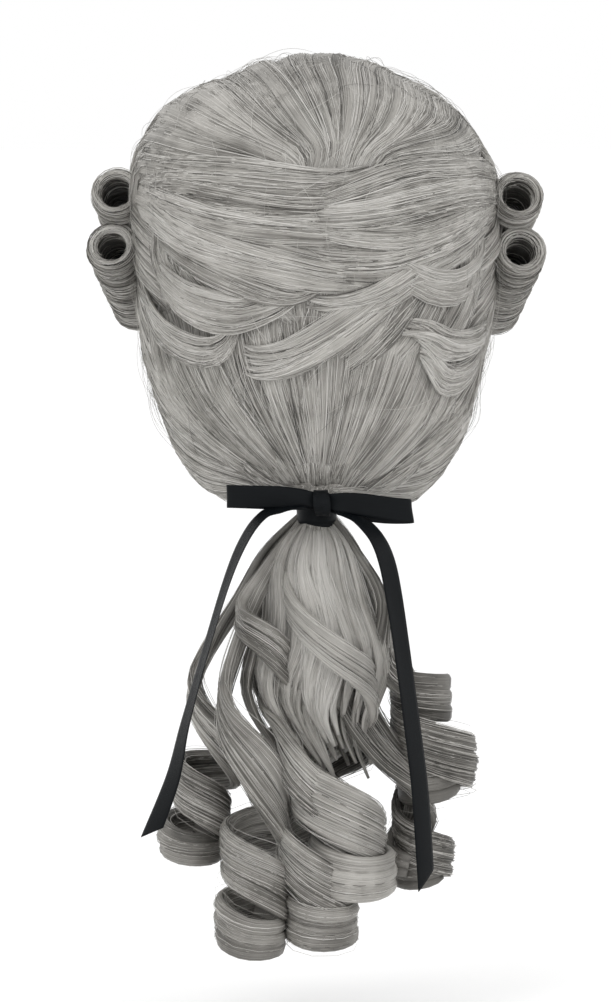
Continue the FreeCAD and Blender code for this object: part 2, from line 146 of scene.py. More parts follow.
# tubes: each point of a path plus radius times a small polygon turned square to the path
def sweepTubes(paths, outward, radii, tones, sides=3):
    n, count = paths.shape[:2]
    _, up, side = framesAlong(paths, outward)
    turn = np.arange(sides) * 2 * np.pi / sides + 0.5
    ring = (
        paths[:, :, None]
        + radii[:, :, None, None]
        * (np.cos(turn)[:, None] * side[:, :, None] + np.sin(turn)[:, None] * up[:, :, None])
    )
    vertices = ring.reshape(-1, 3)
    quads, caps = tubeFaces(n, count, sides)
    v = np.linspace(0, 1, count)
    uv = np.zeros((n, count, sides, 2))
    uv[..., 0] = rng.random((n, 1, 1))
    uv[..., 1] = v[None, :, None]
    tone = np.broadcast_to(tones[:, None, None], (n, count, sides))
    return vertices, quads, fanCaps(caps), uv.reshape(-1, 2), tone.ravel()


def tubeFaces(n, count, sides):  # faces of n tubes of count rings, and their two end caps
    base = (np.arange(n) * count * sides)[:, None, None]
    i = (np.arange(count - 1) * sides)[None, :, None]
    k = np.arange(sides)[None, None, :]
    k2 = (k + 1) % sides
    a, b = base + i + k, base + i + k2
    quads = np.stack([b, a, a + sides, b + sides], -1).reshape(-1, 4)
    start = (np.arange(n) * count * sides)[:, None] + np.arange(sides)[None, :]
    end = start + (count - 1) * sides
    return quads, np.concatenate([start, end[:, ::-1]])


# locks: a flat lens of width and thickness carried along each guide, its outer face combed
# into ridges by a sum of waves across the width
def sweepLocks(paths, outward, widths, thick, tones, across=12):
    n, count = paths.shape[:2]
    _, up, side = framesAlong(paths, outward)
    turn = np.arange(across) * 2 * np.pi / across
    u = np.cos(turn)
    phase = rng.random((n, 1, 1)) * turnAngle
    comb = 1 + 0.11 * np.sin(u * 9 + phase) + 0.07 * np.sin(u * 17 + 2 * phase)
    height = np.sin(turn)[None, None, :] * comb
    ring = (
        paths[:, :, None]
        + side[:, :, None] * (widths[:, :, None] * 0.5 * u)[..., None]
        + up[:, :, None] * (thick[:, :, None] * 0.5 * height)[..., None]
    )
    quads, caps = tubeFaces(n, count, across)
    uv = np.zeros((n, count, across, 2))
    uv[..., 0] = u * 0.5 + 0.5 + np.arange(n)[:, None, None] * 1.37
    uv[..., 1] = np.linspace(0, 1, count)[None, :, None]
    tone = np.broadcast_to(tones[:, None, None], (n, count, across))
    return ring.reshape(-1, 3), quads, fanCaps(caps), uv.reshape(-1, 2), tone.ravel()


def fanCaps(caps):  # an end polygon cut into triangles, so that every cap has three sides
    sides = caps.shape[1]
    tri = [caps[:, [0, i, i + 1]] for i in range(1, sides - 1)]
    return np.concatenate(tri)


# hair of a set of locks: strands spread over the lens of each lock, gathered into clumps,
# each wandering a little across it
hairStyle = {"strandRadius": 0.21, "strandPoints": 10, "lockTone": 0.055, "strandTone": 0.24,
             "wild": 0.14, "clumps": 5}


def dressLocks(paths, outward, widths, thick, perLock, tone=0.5, body=True, loose=0.5,
               radius=None, points=None, tips=0.05, inner=0.0, raised=0.0):
    n, count = paths.shape[:2]
    points = points or hairStyle["strandPoints"]
    radius = radius or hairStyle["strandRadius"]
    lockTone = tone + hairStyle["lockTone"] * rng.standard_normal(n)
    sets = []
    # the lock's body is toned 0.12 below the lock and its strands 0.05 above it: painted shade
    # under and between the strands
    if body:
        sets.append(sweepLocks(paths, outward, widths, thick, lockTone - 0.12))
    _, up, side = framesAlong(paths, outward)
    which = np.repeat(np.arange(n), perLock)
    total = len(which)
    clump = rng.integers(0, hairStyle["clumps"], total)
    centre = (clump + 0.5) / hairStyle["clumps"] * 2 - 1
    u = np.clip(centre + 0.26 * rng.standard_normal(total), -1.06, 1.06)
    lift = np.sqrt(np.clip(1 - (u * 0.92) ** 2, 0.02, 1)) * rng.uniform(0.94, 1.24, total)
    lift = np.where(rng.random(total) < inner, -lift, lift)
    start = rng.uniform(0, tips, total)
    end = 1 - rng.uniform(0, tips, total)
    share = start[:, None] + (end - start)[:, None] * np.linspace(0, 1, points)
    slot = share * (count - 1)
    low = np.clip(slot.astype(int), 0, count - 2)
    frac = (slot - low)[..., None]

    def pick(field):
        return field[which[:, None], low] * (1 - frac) + field[which[:, None], low + 1] * frac

    cross = np.where(rng.random((total, 1)) < hairStyle["wild"], rng.uniform(-1.3, 1.3, (total, 1)),
                     rng.uniform(-0.25, 0.25, (total, 1))) * (share - 0.5) * loose * 2
    wave = rng.uniform(0.5, 1.6, (total, 1)) * turnAngle
    phase = rng.uniform(0, turnAngle, (total, 1))
    sway = 0.10 * np.sin(share * wave + phase) * loose * 2
    width, deep = pick(widths[..., None])[..., 0], pick(thick[..., None])[..., 0]
    across = (u[:, None] + sway + cross) * width * 0.5
    ripple = loose * 0.3 * np.sin(share * wave * 0.7 + phase * 2)
    rise = lift[:, None] * (deep * 0.5 + raised) + ripple
    strands = pick(paths) + pick(side) * across[..., None] + pick(up) * rise[..., None]
    taper = np.minimum(1, 0.35 + 6 * np.minimum(share - start[:, None], end[:, None] - share))
    radii = radius * rng.uniform(0.7, 1.25, (total, 1)) * taper
    tones = lockTone[which] + hairStyle["strandTone"] * rng.standard_normal(total) + 0.05
    sets.append(sweepTubes(strands, pick(up), radii, tones))
    return sets


# the dressed head: level, half width, front, back and sideways shift of its outline
headLevels = np.array([
    (135, 3, 0, 12, 0), (133.5, 16, -30, 26, -1), (128.5, 33, -54, 42, -1), (122, 47, -68, 56, 0),
    (114, 66, -80, 72, 2), (106, 78, -88, 82, 2.7), (97.5, 86, -94, 90, 2.7), (89, 92, -98, 97, 3),
    (81, 97, -101, 103, 3), (72, 101, -103, 108, 2), (55, 103.5, -104, 114, 1),
    (20, 102, -100, 118, 0), (-20, 98.5, -95, 113, 0.5), (-35, 96, -92, 109, 1),
    (-50, 92.5, -89, 104, 1), (-67, 89, -84, 97, 0), (-78, 84.5, -81, 92, 0),
    (-92, 77.5, -75, 86, 0), (-100, 72, -72, 83, 0), (-109, 65, -66, 77, 0.5),
    (-130, 50, -58, 66, 0),
], float)
headMiddle, headSquare = 6.0, 2.3
heads = curveThrough(headLevels, 600)[0][::-1]
heart = np.array([0.0, headMiddle, 10.0])  # every ray from here crosses the outline once


def sectionAt(z):  # half width, front, back and shift at a height
    return [np.interp(z, heads[:, 0], heads[:, k]) for k in (1, 2, 3, 4)]


def outlineGap(p):  # below 0 inside the dressed head, above 0 outside it
    wide, front, back, shift = sectionAt(p[..., 2])
    y = p[..., 1] - headMiddle
    deep = np.where(y > 0, back - headMiddle, headMiddle - front)
    inside = (np.abs((p[..., 0] - shift) / wide) ** headSquare
              + np.abs(y / deep) ** headSquare - 1)
    return np.where(p[..., 2] > headLevels[0, 0] - 0.1, 1.0, inside)


# distance from the heart to the outline in each direction, found by halving, kept on a grid
gridStep = 1.5  # degrees


def measureReach():
    az = np.radians(np.arange(-180, 181, gridStep))
    el = np.radians(np.arange(-90, 91, gridStep))
    a, e = np.meshgrid(az, el, indexing="ij")
    ray = np.stack([np.sin(a) * np.cos(e), np.cos(a) * np.cos(e), np.sin(e)], -1)
    low, high = np.full(a.shape, 20.0), np.full(a.shape, 190.0)
    for _ in range(26):
        middle = (low + high) / 2
        out = outlineGap(heart + ray * middle[..., None]) > 0
        low, high = np.where(out, low, middle), np.where(out, middle, high)
    return low


reachGrid = measureReach()


def reach(ray):
    a = (np.degrees(np.arctan2(ray[..., 0], ray[..., 1])) + 180) / gridStep
    e = (np.degrees(np.arcsin(np.clip(ray[..., 2], -1, 1))) + 90) / gridStep
    i = np.clip(a.astype(int), 0, reachGrid.shape[0] - 2)
    j = np.clip(e.astype(int), 0, reachGrid.shape[1] - 2)
    f, g = a - i, e - j
    return (reachGrid[i, j] * (1 - f) * (1 - g) + reachGrid[i + 1, j] * f * (1 - g)
            + reachGrid[i, j + 1] * (1 - f) * g + reachGrid[i + 1, j + 1] * f * g)


def onHead(points, lift=0.0):  # the outline in a point's direction, raised by lift
    ray = unit(points - heart)
    return heart + ray * (reach(ray) + lift)[..., None]


def headNormal(points):  # slope of (distance - reach), by small steps along each axis
    step = 2.0
    out = np.zeros_like(points)
    for axis in range(3):
        for sign in (1, -1):
            moved = points.copy()
            moved[..., axis] += sign * step
            far = moved - heart
            out[..., axis] += sign * (length(far)[..., 0] - reach(unit(far)))
    return unit(out)


# (x, z) pairs as they are seen from behind and a little above, put on the outline: each is
# moved for how far in front of the tie it lies, a few rounds over until it settles
sightLine = {"slope": 0.083, "depth": 90.0, "distance": 2910.0, "rounds": 4}


def behind(pairs):
    pairs = np.asarray(pairs, float)
    y = np.full(pairs.shape[:-1], sightLine["depth"])
    for _ in range(sightLine["rounds"]):
        ahead = sightLine["depth"] - y
        x = pairs[..., 0] * (1 + ahead / sightLine["distance"])
        z = np.minimum(pairs[..., 1] - sightLine["slope"] * ahead, 133.0)
        wide, _, back, shift = sectionAt(z)
        t = np.clip(np.abs((x - shift) / wide), 0, 0.9995)
        y = headMiddle + (back - headMiddle) * (1 - t**headSquare) ** (1 / headSquare)
    return np.stack([x, y, z], -1)


def around(pairs):  # (degrees from the back towards the wearer's left, z) on the outline
    pairs = np.asarray(pairs, float)
    a = np.radians(pairs[..., 0])
    wide, front, back, shift = sectionAt(pairs[..., 1])
    c, s = np.cos(a), np.sin(a)
    deep = np.where(c > 0, back - headMiddle, headMiddle - front)
    x = shift + wide * np.sign(s) * np.abs(s) ** (2 / headSquare)
    y = headMiddle + deep * np.sign(c) * np.abs(c) ** (2 / headSquare)
    return np.stack([x, y, pairs[..., 1]], -1)


def edgeHeight(y):  # height of the hair's lower edge round the face and neck
    return np.maximum(36 + (y + 92) * (-142 / 114), -106.0)


# guides between neighbours of an ordered family, with a little wander
def spread(guides, count, samples, jitter=2.0):
    rows = curveThrough(guides, 30)
    spots = np.linspace(0.0, 1.0, count) * (len(rows) - 1)
    spots = np.clip(spots + rng.uniform(-0.2, 0.2, count), 0, len(rows) - 1)
    i = np.minimum(spots.astype(int), len(rows) - 2)
    f = (spots - i)[:, None, None]
    mixed = rows[i] * (1 - f) + rows[i + 1] * f
    bend = jitter * rng.standard_normal((count, 1, 3)) * np.sin(
        np.linspace(0, np.pi, 30)[None, :, None]
    )
    return curveThrough(mixed + bend, samples)


def layOnHead(paths, lift):  # lays guides on the outline at the given heights along them
    laid = onHead(paths, lift)
    return laid, headNormal(laid)


def profile(n, count, values, spreadBy=0.15):  # a smooth run of widths, varied from lock to lock
    run = along(values, ease(np.linspace(0, 1, count)) * 0.5 + np.linspace(0, 1, count) * 0.5)
    return run[None] * (1 + spreadBy * rng.standard_normal((n, 1)))


# a node's output as a value that can be added, multiplied and so on
class Wire:
    def __init__(self, finish, socket):
        self.finish, self.socket = finish, socket

    def maths(self, operation, first, second):
        return self.finish.add("ShaderNodeMath", {"operation": operation}, {0: first, 1: second})

    def __add__(self, other):
        return self.maths("ADD", self, other)

    def __sub__(self, other):
        return self.maths("SUBTRACT", self, other)

    def __rsub__(self, other):
        return self.maths("SUBTRACT", other, self)

    def __mul__(self, other):
        return self.maths("MULTIPLY", self, other)

    __radd__ = __add__
    __rmul__ = __mul__


# one material with its shader, and the one method that adds any node to it
class Finish:
    def __init__(self, name, **fixed):
        self.material = bpy.data.materials.new(name)
        self.material.use_nodes = True
        self.nodes = self.material.node_tree.nodes
        self.links = self.material.node_tree.links
        self.shader = self.nodes["Principled BSDF"]
        for key, value in fixed.items():
            self.shader.inputs[key.replace("_", " ")].default_value = value

    def put(self, socket, value):
        if isinstance(value, Wire):
            self.links.new(value.socket, socket)
        else:
            socket.default_value = value

    def add(self, kind, settings=None, inputs=None, out=0):
        node = self.nodes.new(kind)
        for key, value in (settings or {}).items():
            if key == "stops":
                ramp = node.color_ramp.elements
                while len(ramp) < len(value):
                    ramp.new(0.5)
                for stop, (place, colour) in zip(ramp, value):
                    stop.position, stop.color = place, (*colour, 1)
            else:
                setattr(node, key, value)
        for key, value in (inputs or {}).items():
            self.put(node.inputs[key], value)
        return Wire(self, node.outputs[out])

    def mix(self, factor, a, b):
        return self.add("ShaderNodeMix", {"data_type": "RGBA"}, {0: factor, 6: a, 7: b}, 2)

    def noise(self, where, scale, detail=2.0, rough=0.5):
        return self.add("ShaderNodeTexNoise", {},
                        {"Vector": where, "Scale": scale, "Detail": detail, "Roughness": rough})

    def feed(self, name, value):
        self.put(self.shader.inputs[name], value)

    def bump(self, height, distance, strength=1.0):
        bumped = self.add("ShaderNodeBump", {},
                          {"Height": height, "Distance": distance, "Strength": strength})
        self.feed("Normal", bumped)

    def place(self):  # the piece's own place in metres
        return self.add("ShaderNodeTexCoord", out=3)

    def split(self, vector):
        node = self.nodes.new("ShaderNodeSeparateXYZ")
        self.put(node.inputs[0], vector)
        return [Wire(self, s) for s in node.outputs]

    def join(self, x, y, z):
        return self.add("ShaderNodeCombineXYZ", {}, {0: x, 1: y, 2: z})


hairColours = {"deep": (0.040, 0.038, 0.033), "dark": (0.165, 0.157, 0.142),
               "mid": (0.425, 0.410, 0.381), "light": (0.630, 0.615, 0.585)}


# hair: streaks from noise stretched along the strand, coloured by each strand's tone: a random
# spread of its own, plus the painted shade and painted light set per piece
def hairFinish(name, streaks, bumpDepth):
    f = Finish(name, Roughness=0.42, IOR=1.5)
    tone = f.add("ShaderNodeAttribute", {"attribute_name": "tone"}, out=2)
    u, v, _ = f.split(f.add("ShaderNodeUVMap", {"uv_map": "hairUv"}))
    fine = f.noise(f.join(u * streaks, v * 3.0, 0.0), 1.0, 3.0)
    slow = f.noise(f.place(), 45.0, 2.0)
    shade = tone + (fine - 0.5) * 0.9 + (slow - 0.5) * 0.5
    f.feed("Base Color", f.add("ShaderNodeValToRGB", {"stops": [
        (0.0, hairColours["deep"]), (0.28, hairColours["dark"]),
        (0.58, hairColours["mid"]), (1.0, hairColours["light"])]}, {0: shade}))
    f.feed("Roughness", 0.36 + fine * 0.2)
    f.bump(fine, bumpDepth, 0.8)
    return f.material


hairMaterial = hairFinish("silverHair", 60.0, 0.0005)
print("hair finish made")


# a finished piece on its body, or, given a joint (body, body, start, end), left unparented with its
# place baked in
def carriedPiece(name, rides, sets, material):
    piece = makePiece(name, *joinParts(sets), material)
    if isinstance(rides, str):
        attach(piece, rides)
    else:
        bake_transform(piece)
    return piece


def headPiece(name, rides, sets):
    return carriedPiece(name, rides, sets, hairMaterial)


# the mass of hair under the locks: a shell whose outside lies under the outline and whose
# inside clears the cap, both found along rays from the heart, closed at its lower edge
baseHair = {"sunk": 6.5, "capSpace": (80.4, 100.4, 116.4), "neckSpace": (60, 58), "columns": 144,
            "rows": 60}


def edgeAngle(azimuth):  # elevation at which the outline meets the hair's lower edge
    low, high = np.full(azimuth.shape, -88.0), np.full(azimuth.shape, 60.0)
    for _ in range(22):
        mid = (low + high) / 2
        p = surfaceAt(azimuth, mid)
        above = p[..., 2] > edgeHeight(p[..., 1])
        low, high = np.where(above, low, mid), np.where(above, mid, high)
    return high


def rayAt(azimuth, elevation):
    a, e = np.radians(azimuth), np.radians(elevation)
    return np.stack([np.sin(a) * np.cos(e), np.cos(a) * np.cos(e), np.sin(e)], -1)


def surfaceAt(azimuth, elevation, lift=0.0):
    ray = rayAt(azimuth, elevation)
    return heart + ray * (reach(ray) + lift)[..., None]


def insideReach(ray):  # distance from the heart to the space kept for the cap and the neck
    axes = np.array(baseHair["capSpace"])
    o, d = heart / axes, ray / axes
    a, b, c = (d * d).sum(-1), (o * d).sum(-1), (o * o).sum() - 1
    cap = (-b + np.sqrt(b * b - a * c)) / a
    neckAxes = np.array(baseHair["neckSpace"])
    o2, d2 = np.array([0, headMiddle - 4]) / neckAxes, ray[..., :2] / neckAxes
    a2, b2, c2 = (d2 * d2).sum(-1) + 1e-9, (o2 * d2).sum(-1), (o2 * o2).sum() - 1
    neck = (-b2 + np.sqrt(b2 * b2 - a2 * c2)) / a2
    return np.maximum(cap, np.where(ray[..., 2] < -0.3, neck, 0))


def makeBaseHair():
    cols, rows = baseHair["columns"], baseHair["rows"]
    az = np.linspace(-180, 180, cols, endpoint=False)[None, :]
    t = np.linspace(0, 1, rows)[:, None]
    el = 90 + (edgeAngle(az) + 1.0 - 90) * np.maximum(t, 0.004)
    ray = rayAt(np.broadcast_to(az, el.shape), el)
    far = reach(ray) - baseHair["sunk"] - 5 * ease((t - 0.9) * 10)
    near = np.minimum(insideReach(ray), far - 2.0)
    outside, inside = heart + ray * far[..., None], heart + ray * near[..., None]
    grid = np.concatenate([outside, inside[::-1]])
    vertices = grid.reshape(-1, 3)
    i = np.arange(2 * rows - 1)[:, None] * cols
    j = np.arange(cols)[None, :]
    j2 = (j + 1) % cols
    quads = np.stack([i + j, i + cols + j, i + cols + j2, i + j2], -1).reshape(-1, 4)
    top = np.arange(cols)
    bottom = (2 * rows - 1) * cols + np.arange(cols)
    caps = np.concatenate([fanCaps(top[None, :]), fanCaps(bottom[None, ::-1])])
    uv = np.zeros((2 * rows, cols, 2))
    uv[..., 0] = az / 6.0
    uv[..., 1] = np.linspace(0, 3, 2 * rows)[:, None]
    # the outside of the shell, seen between the locks, gets a low tone: painted shade under the
    # locks
    tone = np.full(2 * rows * cols, 0.10)
    tone[rows * cols:] = 0.3
    return vertices, quads, caps, uv.reshape(-1, 2), tone


basePiece = headPiece("hair_base", "cap", [makeBaseHair()])
print("base hair done")


# families of guides seen from the back as (x, z)
crownRows = [
    [(96.8, 78.1), (74.8, 73.7), (50.1, 70.4), (22.6, 68.2), (4, 64)],
    [(91.3, 94.6), (69.3, 84.7), (44.6, 78.1), (19.8, 72.6), (7, 65)],
    [(84.2, 106.7), (61.1, 94.6), (36.3, 84.2), (14.3, 75.4), (9, 66)],
    [(69.3, 118.8), (50.1, 104.5), (29.7, 89.1), (11, 78.1), (9, 67)],
    [(50.1, 127.6), (35.2, 111.1), (19.8, 94.6), (5.5, 81.4), (6, 67)],
    [(29.7, 132), (17.1, 114.4), (5.5, 96.8), (-3.3, 82.5), (2, 66.5)],
    [(8.8, 134.8), (0, 115.5), (-6.6, 97.9), (-9.4, 82.5), (-4, 66)],
    [(-13.2, 134.2), (-16.5, 115.5), (-16, 96.8), (-13.2, 81.4), (-10, 65.5)],
    [(-32.5, 132), (-34.1, 115.5), (-29.7, 97.9), (-20.9, 82.5), (-16, 65)],
    [(-49, 125.4), (-51.7, 110), (-44, 95.7), (-29.7, 83.6), (-21, 64)],
    [(-62.7, 117.7), (-64.9, 103.4), (-52.8, 92.4), (-34.1, 81.4), (-25, 63.5)],
    [(-76.5, 106.7), (-74.8, 93.5), (-58.3, 86.9), (-38, 79.2), (-28, 63)],
    [(-88, 91.3), (-78.1, 84.7), (-60, 82.5), (-39.6, 78.1), (-30, 62)],
]
bandLeftRows = [
    [(95.2, 71.5), (69.3, 69.3), (41.8, 66), (14.3, 62.7), (-10.5, 62.7), (-30.8, 70.4)],
    [(93.5, 62.7), (69.3, 57.2), (41.8, 50.6), (14.3, 47.3), (-7.7, 48.4), (-24.2, 55)],
    [(92.4, 58.3), (74.8, 48.4), (50.1, 39.6), (22.6, 35.2), (-5, 33), (-35.2, 31.4)],
    [(91.3, 53.9), (73.7, 39), (48.4, 28), (19.8, 20), (-7.7, 14), (-30, 12)],
]
bandRightRows = [
    [(-97.9, 73.7), (-76.5, 73.2), (-54.5, 70.4), (-32.5, 63.8), (-10.5, 56.1), (14.3, 48.4)],
    [(-97.9, 63.8), (-76.5, 58.9), (-54.5, 52.8), (-32.5, 47.3), (-5, 45.1), (19.8, 47.3)],
    [(-95.7, 55), (-76.5, 42.9), (-57.2, 35.2), (-38, 33), (-10.5, 35.2), (17.1, 40.7)],
    [(-93.5, 48.4), (-73.7, 31), (-54.5, 22), (-35.2, 17), (-7.7, 18), (15, 24)],
]
arcRows = [
    [(93, 44), (76, 29), (56, 17), (38, 9), (22, 4), (8, 4), (-2, 9)],
    [(-90, 44), (-72, 30), (-54, 15), (-38, 4), (-22, -3), (-6, -5), (6, -2)],
    [(92.4, 23.1), (84.7, 13.2), (71.5, 1.1), (56.7, -5), (41.8, -7.2), (19.8, -1.1), (7.2, 6.6)],
    [(98.5, 20.9), (94.6, 2.8), (85.8, -14.3), (71.5, -25.9), (56.7, -29.2), (47.3, -22.6),
     (43.5, -13.8)],
    [(-62.7, 20.9), (-42.9, 5.5), (-21.5, -11), (0, -24.8), (17.1, -32.5), (31.9, -34.1),
     (39.6, -31.9)],
    [(-95.2, 37.4), (-91.3, 20.9), (-80.3, 8.8), (-65.5, 7.7), (-49, 15.4), (-38, 24.2),
     (-31.4, 27.5)],
    [(-96.3, 2.2), (-93.5, -14.3), (-83.6, -23.7), (-71.5, -25.3), (-62.7, -19.8),
     (-54.5, -16.5), (-47.3, -14.3)],
    [(-93.5, -19.2), (-89.1, -30.8), (-80.3, -39.1), (-71.5, -40.7), (-66, -34.1),
     (-61.6, -29.7), (-57.2, -26.4)],
]
underRows = [
    [(91.3, 42.9), (90.2, 24.8), (82.5, 6.6), (66.6, -6.6)],
    [(72.1, 36.3), (68.2, 19.8), (57.2, 5.5), (39.1, -4.4)],
    [(46.2, 29.7), (38.5, 15.4), (27.5, 4.4), (14.3, -3.3)],
    [(20.9, 27.5), (15.4, 13.2), (9.9, 0), (6.6, -16.5)],
    [(2.2, 26.4), (0, 8.2), (1.1, -11), (2.2, -27.5)],
    [(-16, 25.3), (-12.1, 5.5), (-6.6, -13.8), (-1.1, -28.6)],
    [(-32.5, 24.2), (-25.3, 4.4), (-15.4, -13.8), (-3.3, -28.6)],
    [(-46.2, 20.9), (-37.4, 2.2), (-24.2, -16.5), (-10.5, -28.6)],
    [(-60, 5.5), (-49, -9.9), (-35.2, -24.8), (-18.7, -38.5)],
    [(-76.5, 27.5), (-73.7, 5.5), (-65.5, -13.8), (-54.5, -30.3)],
    [(-90.2, 38.5), (-89.1, 13.8), (-82.5, -8.2), (-71, -27.5)],
]
lowerRows = [
    [(94.1, 0), (91.3, -24.8), (83.1, -49.5), (63.8, -77), (33.6, -99), (8.8, -108.9)],
    [(90.2, -16.5), (82.5, -41.2), (66, -66), (41.8, -88), (19.8, -102.3), (6.6, -110)],
    [(83.1, -16.5), (72.1, -44), (52.8, -70.4), (31.9, -91.3), (14.3, -104.5), (5, -110)],
    [(63.8, -16.5), (57.2, -39.6), (41.8, -63.3), (25.3, -83.6), (11, -101.2), (3.3, -109.5)],
    [(44.6, -16.5), (39.1, -39.6), (28.6, -63.3), (16.5, -85.2), (6.6, -102.3), (2.2, -109.5)],
    [(29.7, -19.2), (25.3, -41.2), (17.6, -64.9), (9.9, -85.8), (3.9, -102.3), (1.1, -109.5)],
    [(14.3, -16.5), (11, -38.5), (7.2, -63.3), (3.9, -85.2), (1.1, -101.8), (0, -109.5)],
    [(-1.1, -11), (-1.1, -34.1), (-2.2, -60.5), (-2.2, -83.6), (-1.7, -101.2), (-1.7, -109.5)],
    [(-16, -16.5), (-14.3, -39.6), (-11.6, -63.8), (-7.7, -85.2), (-4.4, -101.8), (-2.8, -109.5)],
    [(-32.5, -11), (-27.5, -34.1), (-20.9, -61.6), (-13.8, -85.2), (-7.7, -102.3), (-4.4, -110)],
    [(-49, -11), (-41.8, -34.1), (-31.9, -61.6), (-20.9, -85.2), (-11, -102.9), (-6.1, -110)],
    [(-63.8, -22), (-55, -46.8), (-42.9, -70.4), (-28.6, -90.2), (-14.9, -104.5), (-7.7, -110.6)],
    [(-78.1, -24.8), (-69.3, -52.3), (-53.9, -75.9), (-36.3, -94.6), (-18.7, -106.2),
     (-9.4, -111.1)],
    [(-89.1, -19.2), (-84.7, -48.4), (-71, -73.7), (-50.6, -92.4), (-27, -105.6), (-11, -111.7)],
    [(-96.8, -5.5), (-93.5, -33), (-83.6, -60.5), (-62.7, -85.2), (-34.1, -102.3),
     (-13.2, -111.7)],
]
# the sides as (degrees from the back, z), for the wearer's left; the right is their mirror
sideRows = [
    [(118, 66), (100, 60), (84, 52), (76, 48), (66, 42), (56, 36)],
    [(114, 40), (98, 34), (82, 26), (74, 20), (66, 14), (56, 6)],
    [(112, 20), (96, 14), (82, 4), (74, -2), (66, -10), (55, -22)],
    [(128, 15), (105, 0), (85, -15), (75, -42), (50, -75), (16, -103)],
    [(125, 0), (100, -20), (75, -50), (60, -68), (45, -82), (15, -104)],
    [(115, -15), (95, -35), (70, -62), (56, -76), (42, -88), (14, -106)],
    [(105, -40), (85, -58), (62, -78), (50, -88), (38, -95), (13, -107)],
    [(95, -66), (78, -80), (58, -92), (46, -97), (35, -101), (12, -108)],
    [(100, -72), (88, -86), (70, -97), (54, -102), (38, -105), (14, -109)],
    [(94, -80), (82, -93), (66, -102), (52, -105.5), (36, -107), (16, -110)],
    [(86, -86), (76, -98), (62, -105.5), (48, -108), (34, -108.5), (18, -110)],
]
templeRows = [
    [(164, 46), (146, 66), (128, 78), (112, 82), (98, 80)],
    [(158, 38), (142, 54), (126, 64), (112, 68), (100, 66)],
    [(150, 34), (135, 42), (122, 48), (110, 50), (98, 48)],
    [(143, 22), (130, 28), (118, 32), (106, 32), (96, 28)],
    [(136, 10), (126, 13), (115, 14), (104, 10), (94, 2)],
]


def mirrored(rows):
    return [[(-a, z) for a, z in row] for row in rows]


def resampled(rows, to3d, samples=9):  # rows of different kinds put on the head, evenly
    return np.stack([curveThrough(to3d(row), samples)[0] for row in rows])


def crownGuides():  # each back row carried on over the top to the front hairline
    back = resampled(crownRows, behind, 10)
    azimuth = np.linspace(104, 256, len(back))
    front = surfaceAt(azimuth, edgeAngle(azimuth) + 5.0)
    t = np.array([0, 0.2, 0.4, 0.6, 0.8])[None, :, None]
    over = onHead(front[:, None] * (1 - t) + back[:, :1] * t)
    return np.concatenate([over, back], axis=1)


# a family laid on the head: how many locks, how wide, how deep, and the lift along each
def headFamily(guides, locks, perLock, wide, deep, lift, samples=26, jitter=2.0, tone=0.55,
               varyLift=1.2, **dress):
    paths = spread(guides, locks, samples, jitter)
    rise = along(lift, np.linspace(0, 1, samples))[None]
    rise = rise + varyLift * rng.uniform(-1, 1, (locks, 1))
    laid, up = layOnHead(paths, rise)
    widths = profile(locks, samples, wide)
    thick = profile(locks, samples, deep)
    return dressLocks(laid, up, widths, thick, perLock, tone, **dress)


families = {
    "crown": {"locks": 48, "perLock": 24, "wide": [14, 17, 17, 15, 12, 9],
              "deep": [4, 5, 6, 6, 5, 3],
              "lift": [-6, -2.5, -2, -2.5, -3.5, -6.5], "points": 16, "jitter": 1.8},
    "band": {"locks": 5, "perLock": 50, "points": 11, "wide": [5, 8, 9, 10, 10, 8, 3],
             "deep": [3, 5, 5.5, 5, 4, 3, 1], "lift": [-7, -3, 0, 1, 1, 0, -2], "jitter": 2.4,
             "loose": 0.9, "tips": 0.16, "tone": 0.60},
    "under": {"locks": 52, "perLock": 29, "wide": [12, 14, 15, 13, 7], "deep": [3, 5, 5, 4, 1],
              "lift": [-8, -4, -3, -3, -4.5], "jitter": 3.5, "loose": 0.8, "tips": 0.2},
    "lower": {"locks": 58, "perLock": 26, "wide": [10, 14, 13, 10, 7, 4],
              "deep": [1.5, 4, 5, 4.5, 4, 2], "lift": [-8, -4, -2.5, -2, -3, -8], "jitter": 2.2,
              "loose": 0.8, "tips": 0.15},
    "arc": {"locks": 6, "perLock": 30, "points": 11, "wide": [3, 6, 7, 7, 5, 3, 1.2],
            "deep": [1.5, 3, 3, 2.6, 2, 1.2, 0.5], "lift": [-6, -1, 1, 1.5, 1.2, 0.5, 0],
            "jitter": 2.6, "loose": 1.0, "tips": 0.2, "tone": 0.64},
}


def carriedOn(rows, before, after):  # rows lengthened at each end along their own direction
    rows = np.asarray(rows, float)
    first = rows[:, :1] + (rows[:, :1] - rows[:, 1:2]) * before
    last = rows[:, -1:] + (rows[:, -1:] - rows[:, -2:-1]) * after
    return np.concatenate([first] * (before > 0) + [rows] + [last] * (after > 0), axis=1)


crownSplit = crownGuides()
left, right = crownSplit[:7], crownSplit[6:]
for name, guides in (("crown_hair_left", left), ("crown_hair_right", right)):
    headPiece(name, "cap", headFamily(guides, **families["crown"]))
under = carriedOn(underRows, 1.5, 0.8)
headPiece("under_hair", "cap", headFamily(resampled(under, behind), **families["under"]))
lower = carriedOn(lowerRows, 1.1, 0)
headPiece("lower_hair", "cap", headFamily(resampled(lower, behind), **families["lower"]))
for side, sign, rows in (("left", 1, bandLeftRows), ("right", -1, bandRightRows)):
    lead = np.array([around([(118 * sign, row[0][1] + 4), (103 * sign, row[0][1] + 1)])
                     for row in rows])
    swept = np.concatenate([lead, resampled(rows, behind)], axis=1)
    sets = []
    for guide in swept:
        trio = guide[None] + np.array([[0, 0, 5.5], [0, 0, 0], [0, 0, -5.5]])[:, None]
        sets += headFamily(trio, **families["band"])
    headPiece("band_hair_" + side, "cap", sets)
